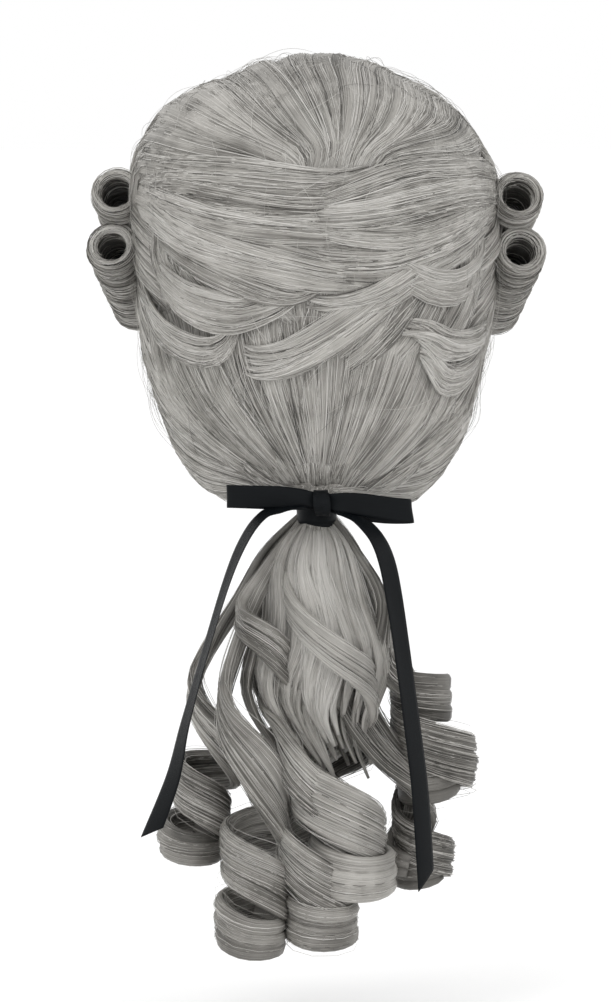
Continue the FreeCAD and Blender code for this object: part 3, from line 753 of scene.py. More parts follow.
for side, rows, temple in (("left", sideRows, templeRows),
                           ("right", mirrored(sideRows), mirrored(templeRows))):
    headPiece("side_locks_" + side, "cap", headFamily(
        resampled(rows, around), 40, 30, [12, 15, 14, 11, 7], [4, 5, 5, 4, 3],
        [-6, -3, -2, -2.5, -5], jitter=2.0))
    headPiece("temple_locks_" + side, "cap", headFamily(
        resampled(temple, around), 18, 40, [8, 13, 13, 10], [3, 5, 5, 3], [-6, -2, -2, -3]))
arcs = resampled(arcRows, behind, 12)
arcSets = []
for index, guide in enumerate(arcs):
    breadth = 9.0 if index == 4 else 5.0  # the fifth is the broad lock swept across the middle
    trio = guide[None] + np.array([[0, 0, breadth], [0, 0, 0], [0, 0, -breadth]])[:, None]
    arcSets += headFamily(trio, **families["arc"])
headPiece("loose_arcs", "cap", arcSets)
print("head hair done")


# the hair drawn in to the tie, on the cap at its top and on the tie at its foot
tieSpot = np.array([0.0, 78.0, -118.0])


gather = {"stemRadius": 7.3, "coreRadius": 6.6, "backLocks": 34, "backStrands": 34,
          "napeLocks": 16, "napeStrands": 26, "samples": 24}


# guides of the gathered hair: the last part of each lower row, then down the bound stem
def gatherGuides():
    rows = resampled(lowerRows, behind, 21)
    guides = []
    for row in rows:
        head = onHead(row[[11, 13, 15, 17]], np.array([-7.0, -2.0, -0.5, -1.0]))
        x = np.clip(row[-1, 0] * 0.75, -6.4, 6.4)
        y = tieSpot[1] + np.sqrt(gather["stemRadius"] ** 2 - x**2)
        guides.append([*head, [x * 1.35, y + 3.0, -105.5], [x, y, -112], [x, y, -122],
                       [x, y - 0.4, -131]])
    return np.array(guides)


def napeGuides():  # the hair on the near side of the stem, drawn back from under the nape
    guides = []
    for side in np.linspace(-1, 1, 9):
        radius = gather["stemRadius"]
        foot = [radius * np.sin(side * 1.5), tieSpot[1] - radius * np.cos(side * 1.5)]
        guides.append([[side * 46, 42 - 8 * abs(side), -101], [side * 34, 52, -104],
                       [side * 22, 61, -106.5], [side * 12, 67, -109], [foot[0], foot[1], -114],
                       [foot[0], foot[1], -121], [foot[0], foot[1], -126],
                       [foot[0], foot[1], -131]])
    return np.array(guides, float)


def makeGather():
    sets = []
    count = gather["samples"]
    for guides, locks, perLock in (
            (gatherGuides(), gather["backLocks"], gather["backStrands"]),
            (napeGuides(), gather["napeLocks"], gather["napeStrands"])):
        paths = spread(guides, locks, count, 1.0)
        outward = unit((paths - heart) * [1, 1, 0.6])
        stem = unit((paths - tieSpot) * [1, 1, 0] + 1e-6)
        low = ease((-100 - paths[..., 2:3]) / 10)
        outward = unit(outward * (1 - low) + stem * low)
        wide = profile(locks, count, [8, 9, 8, 5.0, 3.4, 3.2], 0.1)
        deep = profile(locks, count, [1.5, 4, 4, 2.8, 2, 2], 0.1)
        sets += dressLocks(paths, outward, wide, deep, perLock, 0.55, tips=0.12)
    # a dark core down the middle of the stem: painted shade between the gathered strands
    core = curveThrough([[0, 78, -104], [0, 78, -116], [0, 78, -134]], 8)
    return sets + [sweepTubes(core, np.broadcast_to([0.0, 1.0, 0.0], core.shape),
                              np.full((1, 8), gather["coreRadius"]), np.array([0.2]), 8)]


gatherPiece = headPiece("gathered_hair", ("cap", "tie", (0, 0.078, -0.088), (0, 0.078, -0.110)),
                        makeGather())

# curls: each row is (degrees round the axis from +X, z, axis x, axis y, radius); a row with a
# small radius is the lock before it starts to coil
# curls that lie deeper in the ponytail get darker tones, the two back curls the lowest: painted
# shade
curlRows = {
    "front_left": {"rows": [(-40, -118, 2, 80, 3), (-40, -140, 12, 88, 7), (-25, -170, 26, 93, 10),
        (0, -215, 37, 93, 14), (90, -252, 36, 93, 15), (180, -289, 34, 92, 16),
        (270, -296, 34, 92, 16), (360, -303, 34, 92, 16.5), (450, -315, 34, 92, 17),
        (540, -330, 34.5, 92, 17.5), (630, -338, 35, 92, 18), (720, -343, 36, 92, 18),
        (810, -353, 36, 92, 19), (900, -352, 36, 92, 17), (990, -345, 36, 92, 14)],
        "wide": [6, 12, 18, 24, 26, 25, 24, 24, 22, 16], "deep": 5.5, "tone": 0.5},
    "front_centre": {"rows": [(-70, -118, 1, 80, 4), (-40, -142, 14, 88, 8), (0, -170, 27, 92, 14),
        (90, -185, 29, 93, 14), (180, -203, 31, 93, 14), (270, -222, 22, 93, 15),
        (360, -240, 5, 93, 15), (450, -268, 3, 93, 15), (540, -285, 8, 93, 13),
        (630, -292, 4, 93, 14), (720, -300, 3, 92, 16), (810, -322, -1, 92, 17),
        (900, -336, -2, 92, 17.5), (990, -340, -3, 92, 18), (1080, -341, -4, 92, 19),
        (1170, -346, -4, 92, 19), (1260, -343, -4, 92, 17), (1350, -337, -4, 92, 14)],
        "wide": [7, 13, 17, 20, 20, 20, 22, 24, 24, 23, 22, 18], "deep": 5.5, "tone": 0.44},
    "front_right": {"rows": [(-60, -118, 0, 80, 4), (-30, -138, 2, 87, 9), (0, -158, 3, 92, 14),
        (90, -190, -7, 94, 17), (180, -215, -11, 92, 20), (270, -240, -9, 91, 20),
        (360, -262, -8, 90, 20), (450, -280, -12, 90, 21), (540, -297, -14, 90, 22),
        (630, -304, -17, 90, 22), (720, -311, -21, 90, 22.5), (810, -319, -23, 90, 22),
        (900, -316, -23, 90, 19), (990, -310, -23, 90, 15)],
        "wide": [7, 13, 18, 24, 28, 28, 27, 27, 26, 18], "deep": 6, "tone": 0.6},
    "outer_left": {"rows": [(-60, -118, 3, 78, 4), (-50, -140, 22, 80, 8), (-40, -166, 34, 76, 10),
        (-20, -190, 46, 70, 12), (0, -212, 56, 66, 12), (90, -240, 56, 64, 12.5),
        (180, -262, 56, 62, 12), (270, -266, 59, 62, 14), (360, -268, 62, 62, 16),
        (450, -280, 64, 62, 16), (540, -293, 66, 62, 16), (630, -297, 68, 62, 16.5),
        (720, -300, 69, 62, 17), (810, -306, 69, 62, 17), (900, -305, 69, 62, 15),
        (990, -299, 69, 62, 12)],
        "wide": [6, 10, 13, 17, 20, 22, 22, 20, 14], "deep": 5, "tone": 0.44},
    "outer_right": {"rows": [(200, -118, -3, 78, 4), (200, -140, -14, 84, 8),
        (190, -165, -26, 86, 10), (150, -198, -30, 80, 8), (180, -214, -40, 72, 10),
        (250, -226, -52, 64, 14), (330, -238, -62, 62, 18), (420, -248, -66, 61, 19),
        (510, -257, -67, 60, 20), (600, -262, -67, 60, 20), (690, -268, -67, 60, 20),
        (780, -270, -67, 60, 18), (870, -266, -66, 60, 14)],
        "wide": [6, 11, 15, 18, 22, 25, 26, 24, 18], "deep": 5.5, "tone": 0.4},
    "upper_right": {"rows": [(210, -118, -3, 76, 4), (215, -142, -15, 78, 7),
        (220, -170, -22, 72, 8), (240, -195, -30, 66, 8), (270, -208, -40, 60, 10),
        (330, -217, -54, 56, 13), (400, -221, -60, 57, 14), (470, -223, -61, 58, 14),
        (540, -224, -61, 58, 13.5)],
        "wide": [6, 11, 15, 19, 22, 24, 24, 23], "deep": 5, "tone": 0.38},
    "back_left": {"rows": [(-90, -118, 1, 76, 4), (-60, -150, 8, 66, 8), (-20, -185, 13, 58, 13),
        (90, -220, 13, 57, 15), (180, -240, 14, 56, 15), (360, -262, 18, 55, 16),
        (450, -280, 20, 54, 17), (540, -294, 21, 54, 17), (720, -308, 22, 53, 18),
        (900, -318, 23, 52, 18), (990, -318, 23, 52, 15)],
        "wide": [7, 12, 17, 22, 24, 24, 22, 16], "deep": 5, "tone": 0.26},
    "back_right": {"rows": [(-120, -118, -1, 76, 4), (-100, -150, -8, 66, 8),
        (-40, -185, -14, 58, 13), (90, -225, -16, 56, 15), (180, -245, -16, 55, 15),
        (360, -268, -16, 54, 16), (450, -286, -16, 53, 17), (540, -300, -16, 53, 17),
        (720, -314, -16, 52, 18), (900, -324, -16, 52, 18), (990, -324, -16, 52, 15)],
        "wide": [7, 12, 17, 22, 24, 24, 22, 16], "deep": 5, "tone": 0.26},
    "mid_right": {"rows": [(60, -118, -2, 76, 3), (80, -150, -12, 74, 4), (110, -190, -15, 74, 4),
        (130, -222, -19, 76, 4), (150, -248, -32, 78, 5), (180, -268, -48, 74, 6),
        (230, -288, -54, 68, 8), (300, -304, -52, 64, 10), (380, -312, -50, 62, 11),
        (460, -316, -50, 62, 11)],
        "wide": [6, 13, 20, 26, 27, 24, 18, 12], "deep": 6, "tone": 0.44},
    "lower_right": {"rows": [(230, -150, -12, 70, 5), (200, -190, -34, 62, 8),
        (200, -230, -50, 58, 10), (240, -262, -58, 58, 12), (330, -290, -60, 59, 14),
        (420, -303, -60, 59, 15), (510, -311, -60, 59, 15), (600, -316, -60, 59, 15),
        (690, -320, -60, 59, 15), (780, -323, -60, 59, 14), (870, -320, -60, 59, 11)],
        "wide": [6, 11, 15, 18, 20, 20, 17, 12], "deep": 4.5, "tone": 0.34},
}
curlStandsFor = {name: "curl_" + name for name in curlRows if name != "mid_right"}
curlStandsFor["upper_right"] = "ponytail_root"


# a coil: axis + radius (cos, sin) at each height, all four read smoothly along the rows, with
# samples spread evenly by length
def coilPath(rows, perMillimetre=0.19):
    rows = np.asarray(rows, float)
    fine = curveThrough(rows, 900)[0]
    angle = np.radians(fine[:, 0])
    out = np.stack([np.cos(angle), np.sin(angle), angle * 0], -1)
    axis = fine[:, [2, 3, 1]]
    path = axis + out * fine[:, 4:5]
    gone = np.concatenate([[0], np.cumsum(np.linalg.norm(np.diff(path, axis=0), axis=1))])
    count = int(max(24, gone[-1] * perMillimetre))
    want = np.linspace(0, gone[-1], count)
    path = np.stack([np.interp(want, gone, path[:, k]) for k in range(3)], -1)
    out = np.stack([np.interp(want, gone, out[:, k]) for k in range(3)], -1)
    return path, unit(out)


curlStyle = {"split": 3, "perLock": 46, "drift": 0.05, "wander": 0.8, "loose": 0.6, "tips": 0.42,
             "inner": 0.3, "raised": 0.35, "overlap": 1.35, "wispsPerLock": 7, "wispLoose": 3.5,
             "wispTips": 0.5, "wispInner": 0.4, "wispRadius": 0.13}


def makeCurl(spec):
    style, split = curlStyle, curlStyle["split"]
    path, out = coilPath(spec["rows"])
    count = len(path)
    _, up, side = framesAlong(path[None], out[None])
    wide = profile(1, count, spec["wide"], 0)[0]
    place = (np.arange(split) + 0.5) / split - 0.5
    sway = np.linspace(0, 9, count)[None] + rng.uniform(0, 6, (split, 1))
    drift = style["drift"] * np.sin(sway)
    across = (place[:, None] + drift) * wide[None]
    wander = rng.uniform(-style["wander"], style["wander"], (split, 1))
    lift = wander - 8.0 * (across / 40) ** 2
    paths = path[None] + side * across[..., None] + up * lift[..., None]
    ups = np.broadcast_to(up, paths.shape)
    widths = np.broadcast_to(wide / split * style["overlap"], (split, count))
    thick = np.broadcast_to(np.minimum(spec["deep"], wide * 0.45 + 1), (split, count))
    hair = dressLocks(paths, ups, widths, thick, style["perLock"], spec["tone"],
                      points=count // 3 + 8, loose=style["loose"], tips=style["tips"],
                      inner=style["inner"], raised=style["raised"])
    wisps = dressLocks(paths, ups, widths * 1.15, thick + 1.2, style["wispsPerLock"],
                       spec["tone"] + 0.1, points=count // 4 + 6, loose=style["wispLoose"],
                       tips=style["wispTips"], inner=style["wispInner"], body=False,
                       radius=style["wispRadius"])
    return hair + wisps


# the fan of waved hair between the tie and the curls: layers from the back of the ponytail to
# its far side, every guide a ray from the tie that sways in step with its neighbours
# the layers' tones fall from the near layer to the far one: painted light on the near layer,
# painted shade on the layers behind it
fanLayers = [
    {"depth": 100, "spread": 35, "count": 9, "foot": -238, "tone": 0.80, "locks": 14,
     "wide": [3, 8, 14, 16, 11, 1.5]},
    {"depth": 92, "spread": 37, "count": 9, "foot": -256, "tone": 0.56, "locks": 12,
     "wide": [3, 8, 14, 17, 13, 2]},
    {"depth": 76, "spread": 37, "count": 7, "foot": -250, "tone": 0.34, "locks": 11,
     "wide": [3, 9, 16, 19, 15, 3]},
    {"depth": 58, "spread": 32, "count": 7, "foot": -252, "tone": 0.28, "locks": 11,
     "wide": [3, 9, 16, 19, 15, 3]},
]


def fanGuides(layer):
    side = np.linspace(-1, 1, layer["count"])[:, None]
    t = np.linspace(0, 1, 9)[None]
    foot = layer["foot"] + 12 * np.sin(side * 7 + layer["depth"])
    z = -118 + (foot + 118) * t
    fan = 1 - np.exp(-(-118 - z) / 24.0)
    bowed = layer["depth"] - 8 * side**2 * np.sign(layer["depth"] - 70)
    y = 78 + (bowed - 78) * fan * np.where(t > 0.7, 1 - 0.35 * (t - 0.7) / 0.3, 1)
    x = layer["spread"] * side * fan + 7.5 * np.sin(-(z + 118) / 88 * 2 * np.pi + side) * t**0.7
    x = np.where(t == 0, 3.0 * side, x * (1 - 0.3 * t**3) + 2.0 * t - 9.0 * t**4)
    return np.stack([x, y, np.broadcast_to(z, x.shape)], -1)


fanStyle = {"samples": 30, "strands": 27, "points": 13, "deep": [2, 4, 5, 5, 4, 2]}


def makeFan():
    sets, count = [], fanStyle["samples"]
    for layer in fanLayers:
        paths = spread(fanGuides(layer), layer["locks"], count, 1.5)
        outward = unit((paths - tieSpot) * [1, 1, 0] + [0, 0.5, 0])
        n = len(paths)
        sets += dressLocks(paths, outward, profile(n, count, layer["wide"]),
                           profile(n, count, fanStyle["deep"]), fanStyle["strands"],
                           layer["tone"], points=fanStyle["points"], inner=0.15, tips=0.3,
                           loose=0.8)
    return sets


ponytailJoin = ("tie", "ponytail", (0, 0.078, -0.124), (0, 0.078, -0.150))
headPiece("ponytail_fan", ponytailJoin, makeFan())
for name, spec in curlRows.items():
    curl = headPiece("curl_hair_" + name, ponytailJoin, makeCurl(spec))
    if name in curlStandsFor:
        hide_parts(curlStandsFor[name])
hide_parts("nape_gather", "ponytail_stem")
print("ponytail done")


# barrel rolls: each is a wall between an outer radius and a bore, both rippled by clumps, with
# rounded ends, wound round by strands on the outside, over the ends and down the bore
rollPitch, rollYaw = np.radians(25.0), np.radians(9.0)
rollForward = np.array([-np.sin(rollYaw) * np.cos(rollPitch),
                        -np.cos(rollYaw) * np.cos(rollPitch), -np.sin(rollPitch)])
rolls = {
    "upper_left": {"back": (112.5, 27, 58.5), "outer": 14.2, "bore": 9.4, "lay": 1},
    "lower_left": {"back": (115.0, 27, 28.0), "outer": 14.2, "bore": 8.6, "lay": 1},
    "upper_right": {"back": (-113.5, 27, 56.5), "outer": 14.2, "bore": 9.4, "lay": -1},
    "lower_right": {"back": (-115.0, 27, 25.5), "outer": 14.2, "bore": 8.6, "lay": -1},
}
rollLength, rollStrands = 92.0, {"outside": 310, "end": 56, "bore": 44, "points": 16}


def rollAxes(spec):  # forward, sideways and upward directions of a roll
    forward = unit(rollForward * [spec["lay"], 1, 1])
    across = unit(np.cross(forward, [0, 0, 1.0]))
    return forward, across, np.cross(across, forward)


def rollPoint(spec, s, angle, radius):
    forward, across, up = rollAxes(spec)
    return (np.array(spec["back"]) + forward * s[..., None]
            + radius[..., None] * (across * np.cos(angle)[..., None]
                                   + up * np.sin(angle)[..., None]))


def rollSwell(s, angle):  # slow ripple of the wound hair along and round the roll
    return 0.45 * np.sin(s * 0.31 + 2 * np.sin(angle)) + 0.35 * np.sin(s * 0.83 + angle)


def rollBody(spec):
    outer, bore, around_, rows = spec["outer"] - 0.4, spec["bore"] + 0.4, 48, 34
    middle, half = (outer + bore) / 2, (outer - bore) / 2
    s = np.linspace(2.0, rollLength - 2.0, rows)
    turn = np.linspace(0, np.pi, 7)[1:-1]
    end = middle + half * np.cos(turn)
    bulge = half * 0.9 * np.sin(turn)
    run = np.concatenate([s, rollLength - 2.0 + bulge, s[::-1], 2.0 - bulge])
    radius = np.concatenate([np.full(rows, outer), end, np.full(rows, bore), end[::-1]])
    weight = np.concatenate([np.ones(rows), np.cos(turn), -np.ones(rows), -np.cos(turn)])
    angle = np.arange(around_) * 2 * np.pi / around_
    runs = np.broadcast_to(run[:, None], (len(run), around_))
    r = radius[:, None] + np.maximum(weight, 0)[:, None] * rollSwell(runs, angle[None])
    points = rollPoint(spec, runs, np.broadcast_to(angle, r.shape), r)
    n = len(run)
    i = np.arange(n)[:, None]
    k = np.arange(around_)[None, :]
    i2, k2 = (i + 1) % n, (k + 1) % around_
    quads = np.stack([i * around_ + k, i2 * around_ + k, i2 * around_ + k2, i * around_ + k2],
                     -1).reshape(-1, 4)
    uv = np.zeros((n, around_, 2))
    uv[..., 0], uv[..., 1] = run[:, None] * 0.08, angle / 3
    # the outside and front end of the body get tone 0.30, the bore and back end 0.10: painted shade
    # inside the roll
    tone = np.where(np.arange(n) < rows + 5, 0.30, 0.10)[:, None] * np.ones((1, around_))
    return (points.reshape(-1, 3), faceOut(points.reshape(-1, 3), quads),
            np.zeros((0, 3), int), uv.reshape(-1, 2), tone.ravel())


def faceOut(points, quads):  # turns every face over if the closed shape encloses a minus volume
    p = points[quads]
    volume = (np.cross(p[:, 0], p[:, 1]) * p[:, 2]).sum() + (
        np.cross(p[:, 0], p[:, 2]) * p[:, 3]).sum()
    return quads if volume > 0 else quads[:, ::-1]


def windStrands(spec, count, radius, s, sweep, tone, drift=4.0):
    points = rollStrands["points"]
    t = np.linspace(0, 1, points)[None]
    angle = rng.uniform(0, turnAngle, (count, 1)) + np.radians(sweep)[:, None] * t
    run = s[:, None] + drift * rng.standard_normal((count, 1)) * (t - 0.5)
    outside = (radius > spec["outer"] - 1)[:, None]
    r = radius[:, None] + np.where(outside, rollSwell(run, angle), 0) - 0.9 * (
        np.abs(t - 0.5) * 2) ** 6
    path = rollPoint(spec, run, angle, r)
    forward, across, up = rollAxes(spec)
    out = unit(across * np.cos(angle)[..., None] + up * np.sin(angle)[..., None])
    thick = 0.24 * rng.uniform(0.7, 1.3, (count, 1)) * np.minimum(
        1, 0.4 + 5 * np.minimum(t, 1 - t))
    return sweepTubes(path, out, thick, tone + 0.22 * rng.standard_normal(count))


def makeRoll(spec):
    n, bore, outer = rollStrands, spec["bore"], spec["outer"]
    sets = [rollBody(spec)]
    place = rng.uniform(1, rollLength - 1, n["outside"])
    sets.append(windStrands(spec, n["outside"], outer + rng.uniform(-0.4, 0.5, n["outside"]),
                            place, rng.uniform(150, 330, n["outside"]), 0.55))
    for end in (0, rollLength):
        share = rng.uniform(0.04, 0.96, n["end"])
        bulge = 2.4 * np.sin(np.pi * share) - 1.6
        sets.append(windStrands(spec, n["end"], bore + (outer - bore) * share,
                                end + (bulge if end else -bulge),
                                rng.uniform(120, 320, n["end"]), 0.62, 0.6))
    # strands down the bore get a low tone: painted shade inside the roll
    sets.append(windStrands(spec, n["bore"], bore + rng.uniform(-0.5, 0.3, n["bore"]),
                            rng.uniform(1, 40, n["bore"]), rng.uniform(120, 300, n["bore"]),
                            0.28, 2.0))
    return sets


# stray hairs: thin strands that leave the outline, arch a few millimetres clear of it and
# come back or hang free
strays = {"count": 620, "radius": 0.10, "points": 12, "clear": 5.0}


def makeStrays():
    n, p = strays["count"], strays["points"]
    az, el = rng.uniform(-150, 150, n), rng.uniform(-36, 80, n)
    start = surfaceAt(az, el, 0.0)
    up = headNormal(start)
    down = np.array([0.0, 0.35, -1.0]) + 0.5 * rng.standard_normal((n, 3))
    go = unit(down - up * np.sum(down * up, -1, keepdims=True))
    t = np.linspace(0, 1, p)[None, :, None]
    reachAlong = rng.uniform(18, 60, (n, 1, 1))
    bow = rng.uniform(0.3, 1.0, (n, 1, 1)) ** 2 * strays["clear"]
    path = start[:, None] + go[:, None] * t * reachAlong
    path = path + np.cross(go, up)[:, None] * np.sin(t * 3) * rng.uniform(-8, 8, (n, 1, 1))
    path = onHead(path, (bow * np.sin(np.pi * t) + 0.6)[..., 0])
    thick = strays["radius"] * np.minimum(1, 0.3 + 4 * np.minimum(t, 1 - t))[..., 0]
    return [sweepTubes(path, headNormal(path), np.broadcast_to(thick, (n, p)),
                       0.62 + 0.2 * rng.standard_normal(n))]


headPiece("stray_hairs", "cap", makeStrays())

for name, spec in rolls.items():
    roll = headPiece("roll_hair_" + name, "cap", makeRoll(spec))
    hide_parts("roll_" + name)
print("rolls done")


# satin ribbon: a strip of given width carried along a path, slightly cupped, with a turned
# edge, its cross-section a thin closed oval; v runs in hundredths of a metre for the weave
ribbonSizes = {"width": 12.7, "thickness": 0.42, "across": 9, "cutLength": 22}


def makeStrip(path, widthWay, widths, cup=0.0, cut=0.0):
    path, widthWay = np.asarray(path, float), unit(np.asarray(widthWay, float))
    n, m = len(path), ribbonSizes["across"]
    tangent = unit(np.gradient(path, axis=0))
    way = unit(widthWay - tangent * np.sum(widthWay * tangent, -1, keepdims=True))
    face = np.cross(tangent, way)
    u = np.linspace(-1, 1, m)
    half = ribbonSizes["thickness"] / 2 * np.sqrt(np.clip(1 - u**8, 0.08, 1))
    ringU = np.concatenate([u, u[::-1]])
    ringH = np.concatenate([half, -half[::-1]])
    gone = np.concatenate([[0], np.cumsum(np.linalg.norm(np.diff(path, axis=0), axis=1))])
    slide = cut * ease((gone - gone[-1] + ribbonSizes["cutLength"]) / ribbonSizes["cutLength"])
    cupping = np.broadcast_to(cup, (n,))
    points = (path[:, None] + way[:, None] * (widths[:, None] * 0.5 * ringU)[..., None]
              + face[:, None] * (ringH[None] + cupping[:, None] * (ringU**2 - 0.4))[..., None]
              + tangent[:, None] * (slide[:, None] * widths[:, None] * 0.5 * ringU)[..., None])
    quads, caps = tubeFaces(1, n, 2 * m)
    uv = np.zeros((n, 2 * m, 2))
    uv[..., 0] = ringU * widths[:, None] * 0.05
    uv[..., 1] = gone[:, None] * 0.1
    points, caps = points.reshape(-1, 3), fanCaps(caps)
    turned = faceOut(points, quads)
    if turned is not quads:
        caps = caps[:, ::-1]
    return points, turned, caps, uv.reshape(-1, 2), np.full(n * 2 * m, 0.5)


ribbonFinish = Finish("blackSatin", Roughness=0.34, Specular_IOR_Level=0.11)
u, v, _ = ribbonFinish.split(ribbonFinish.add("ShaderNodeUVMap", {"uv_map": "hairUv"}))
yarn = ribbonFinish.add("ShaderNodeTexWave", {"wave_type": "BANDS", "bands_direction": "X"},
                        {"Vector": ribbonFinish.join(u, v, 0.0), "Scale": 9.0,
                         "Distortion": 0.6, "Detail": 1.0})
weft = ribbonFinish.add("ShaderNodeTexWave", {"wave_type": "BANDS", "bands_direction": "Y"},
                        {"Vector": ribbonFinish.join(u, v, 0.0), "Scale": 7.0,
                         "Distortion": 0.4, "Detail": 1.0})
sheen = ribbonFinish.noise(ribbonFinish.join(u * 9.0, v * 0.7, 0.0), 1.0, 2.0)
# the sheen noise lightens the base colour in streaks along the ribbon: painted sheen; it also
# varies the roughness
ribbonFinish.feed("Base Color", ribbonFinish.mix(
    sheen * 0.7 + weft * 0.2, (0.0008, 0.0012, 0.0016, 1), (0.0040, 0.0058, 0.0076, 1)))
ribbonFinish.feed("Roughness", 0.27 + yarn * 0.10 + sheen * 0.14)
ribbonFinish.bump(yarn * 0.5 + weft * 0.7, 0.00012, 0.6)


def stripPiece(name, parts, rides):
    return carriedPiece(name, rides, parts, ribbonFinish.material)


# the wrap: one strip wound round the stem, each turn over the last and a little off its line
def makeWrap():
    t = np.linspace(0, 1, 150)
    angle = t * 2 * np.pi * 2.6 + 0.6
    radius = 9.8 + 1.2 * t + 0.12 * np.sin(angle * 3)
    level = -117.6 - 2.0 * np.sin(t * 8.0) + 0.5 * np.sin(angle * 2)
    path = np.stack([radius * np.sin(angle), 78 + radius * np.cos(angle), level], -1)
    lean = np.stack([0.10 * np.cos(angle * 1.7), 0 * t, np.ones_like(t)], -1)
    widths = 12.3 + 0.4 * np.sin(angle * 2.3)
    return makeStrip(path, lean, widths, 0.25 * np.sin(angle * 4))


stripPiece("ribbon_winding", [makeWrap()], "tie")


# a bow loop: out from the knot at one depth, round a soft fold and back at another
def loopPath(points):
    return curveThrough(points, 70)[0]


bowForward = 4.4  # room for the nape hair when the ponytail is lifted
bowLoops = {
    "left": {"route": [(-2, 94.6, -109.5), (6, 97.2, -108.6), (20, 99.6, -107.6),
                       (36, 99.2, -107.2), (46.6, 96.8, -107.2), (49.2, 94.2, -107.3),
                       (46.2, 91.8, -107.6), (34, 90.4, -108.2), (18, 90.8, -108.8),
                       (5, 92.2, -109.4), (-2, 93.0, -109.8)],
             "tip": (0.02, 0, 1)},
    "right": {"route": [(-4, 94.6, -109.8), (-12, 97.4, -110.2), (-26, 100.2, -111.6),
                        (-40, 99.6, -113.6), (-49.8, 96.8, -114.8), (-52.6, 94.0, -115.6),
                        (-49.4, 91.2, -116.4), (-38, 89.6, -116.4), (-24, 90.2, -114.6),
                        (-10, 91.8, -111.8), (-4, 93.0, -110.4)],
              "tip": (0.16, 0, 1)},
}
for side, spec in bowLoops.items():
    path = loopPath(spec["route"]) + np.array([0, bowForward, 0])
    share = np.linspace(0, 1, len(path))
    pinch = ease(np.minimum(share, 1 - share) * 5.0)
    widths = 7.6 + (ribbonSizes["width"] - 7.6) * pinch
    ways = np.array([0, 0, 1.0]) * (1 - pinch[:, None]) + np.array(spec["tip"]) * pinch[:, None]
    cup = 0.9 * (1 - pinch) + 0.25 * np.sin(share * 9)
    loop = stripPiece("bow_ribbon_" + side, [makeStrip(path, ways, widths, cup)], "tie")
    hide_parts("bow_loop_" + side)


# the knot: a short strip turned over the middle of the bow, drawn in to narrow pleats
def makeKnot():
    t = np.linspace(0, 1, 48)
    a = 2 * np.pi * t * 1.04 - 0.4
    path = np.stack([-3 + 0.8 * np.sin(a), 96.2 + 7.4 * np.cos(a), -111.2 + 7.0 * np.sin(a)], -1)
    way = np.stack([np.ones_like(t), 0.05 * np.sin(a), 0.10 * np.cos(a)], -1)
    widths = 8.6 + 1.0 * np.cos(2 * a)
    return makeStrip(path, way, widths, 0.5 * np.sin(2 * a) + 0.4)


knot = stripPiece("ribbon_tie_knot", [makeKnot()], "tie")
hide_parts("ribbon_knot", "ribbon_wrap")

# the tails: (x, y, z) of the middle line, with how far the strip has turned to face back
tails = {
    "left": {"route": [(2, 96, -112), (8.8, 100, -111.5), (20, 106, -113.6), (29.7, 111, -117),
                       (39, 116, -129), (48.4, 118.5, -151), (61, 119.5, -192),
                       (72, 119.5, -231), (79, 119.5, -261), (90.5, 119.5, -291)],
             "facing": [50, 66, 72, 74, 74, 72, 68, 62, 54, 48], "cut": 0.85, "side": 1,
             "body": ("tie", "tail_left", (0.008, 0.095, -0.112), (0.034, 0.105, -0.128))},
    "right": {"route": [(-8, 96, -113), (-16, 100, -115.5), (-24, 106, -119.5),
                        (-33, 112, -129), (-38.5, 115.5, -142), (-42.5, 117, -162),
                        (-47, 117.5, -192), (-52, 117.5, -228), (-57, 117.5, -268),
                        (-60.5, 117.5, -318)],
              "facing": [50, 58, 60, 56, 50, 44, 40, 40, 44, 48], "cut": 0.85, "side": -1,
              "body": ("tie", "tail_right", (-0.008, 0.095, -0.113), (-0.037, 0.107, -0.134))},
}
for side, spec in tails.items():
    path = curveThrough(spec["route"], 110)[0]
    share = np.linspace(0, 1, len(path))
    turn = np.radians(along(spec["facing"], share)) + 0.10 * np.sin(share * 11)
    tangent = unit(np.gradient(path, axis=0))
    flat = unit(np.cross(tangent, [0, 1.0, 0]))
    deepWay = np.cross(tangent, flat)
    ways = flat * np.cos(turn)[:, None] + spec["side"] * deepWay * np.sin(turn)[:, None]
    widths = 7.5 + (ribbonSizes["width"] - 7.5) * ease(share * 5.0)
    strip = makeStrip(path, ways, widths, 0.35 * np.sin(share * 8) + 0.7 * (1 - ease(share * 6)),
                      spec["cut"])
    tail = stripPiece("ribbon_end_" + side, [strip], spec["body"])
    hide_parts("ribbon_tail_" + side)
print("ribbon done")


# finishes for what stays as the frame has it
def wovenFinish(name, dark, light, pitch, rough, depth=0.0002, slant=0.0):
    f = Finish(name)
    x, y, z = f.split(f.place())
    a = f.add("ShaderNodeTexWave", {"wave_type": "BANDS", "bands_direction": "X"},
              {"Vector": f.join(x + z * slant, y, z), "Scale": 0.314 / pitch, "Distortion": 0.3})
    b = f.add("ShaderNodeTexWave", {"wave_type": "BANDS", "bands_direction": "Z"},
              {"Vector": f.join(x, y, z + x * slant), "Scale": 0.314 / pitch, "Distortion": 0.3})
    weave = a * b
    worn = f.noise(f.place(), 60.0, 3.0)
    f.feed("Base Color", f.mix(weave * 0.75 + worn * 0.25, (*dark, 1), (*light, 1)))
    f.feed("Roughness", rough + worn * 0.12)
    f.bump(weave, depth, 0.7)
    return f.material


def smoothFinish(name, dark, light, rough, metallic=0.0, grain=400.0):
    f = Finish(name, Metallic=metallic)
    mottled = f.noise(f.place(), grain, 3.0)
    f.feed("Base Color", f.mix(mottled, (*dark, 1), (*light, 1)))
    f.feed("Roughness", rough + mottled * 0.15)
    f.bump(mottled, 0.00005, 0.4)
    return f.material


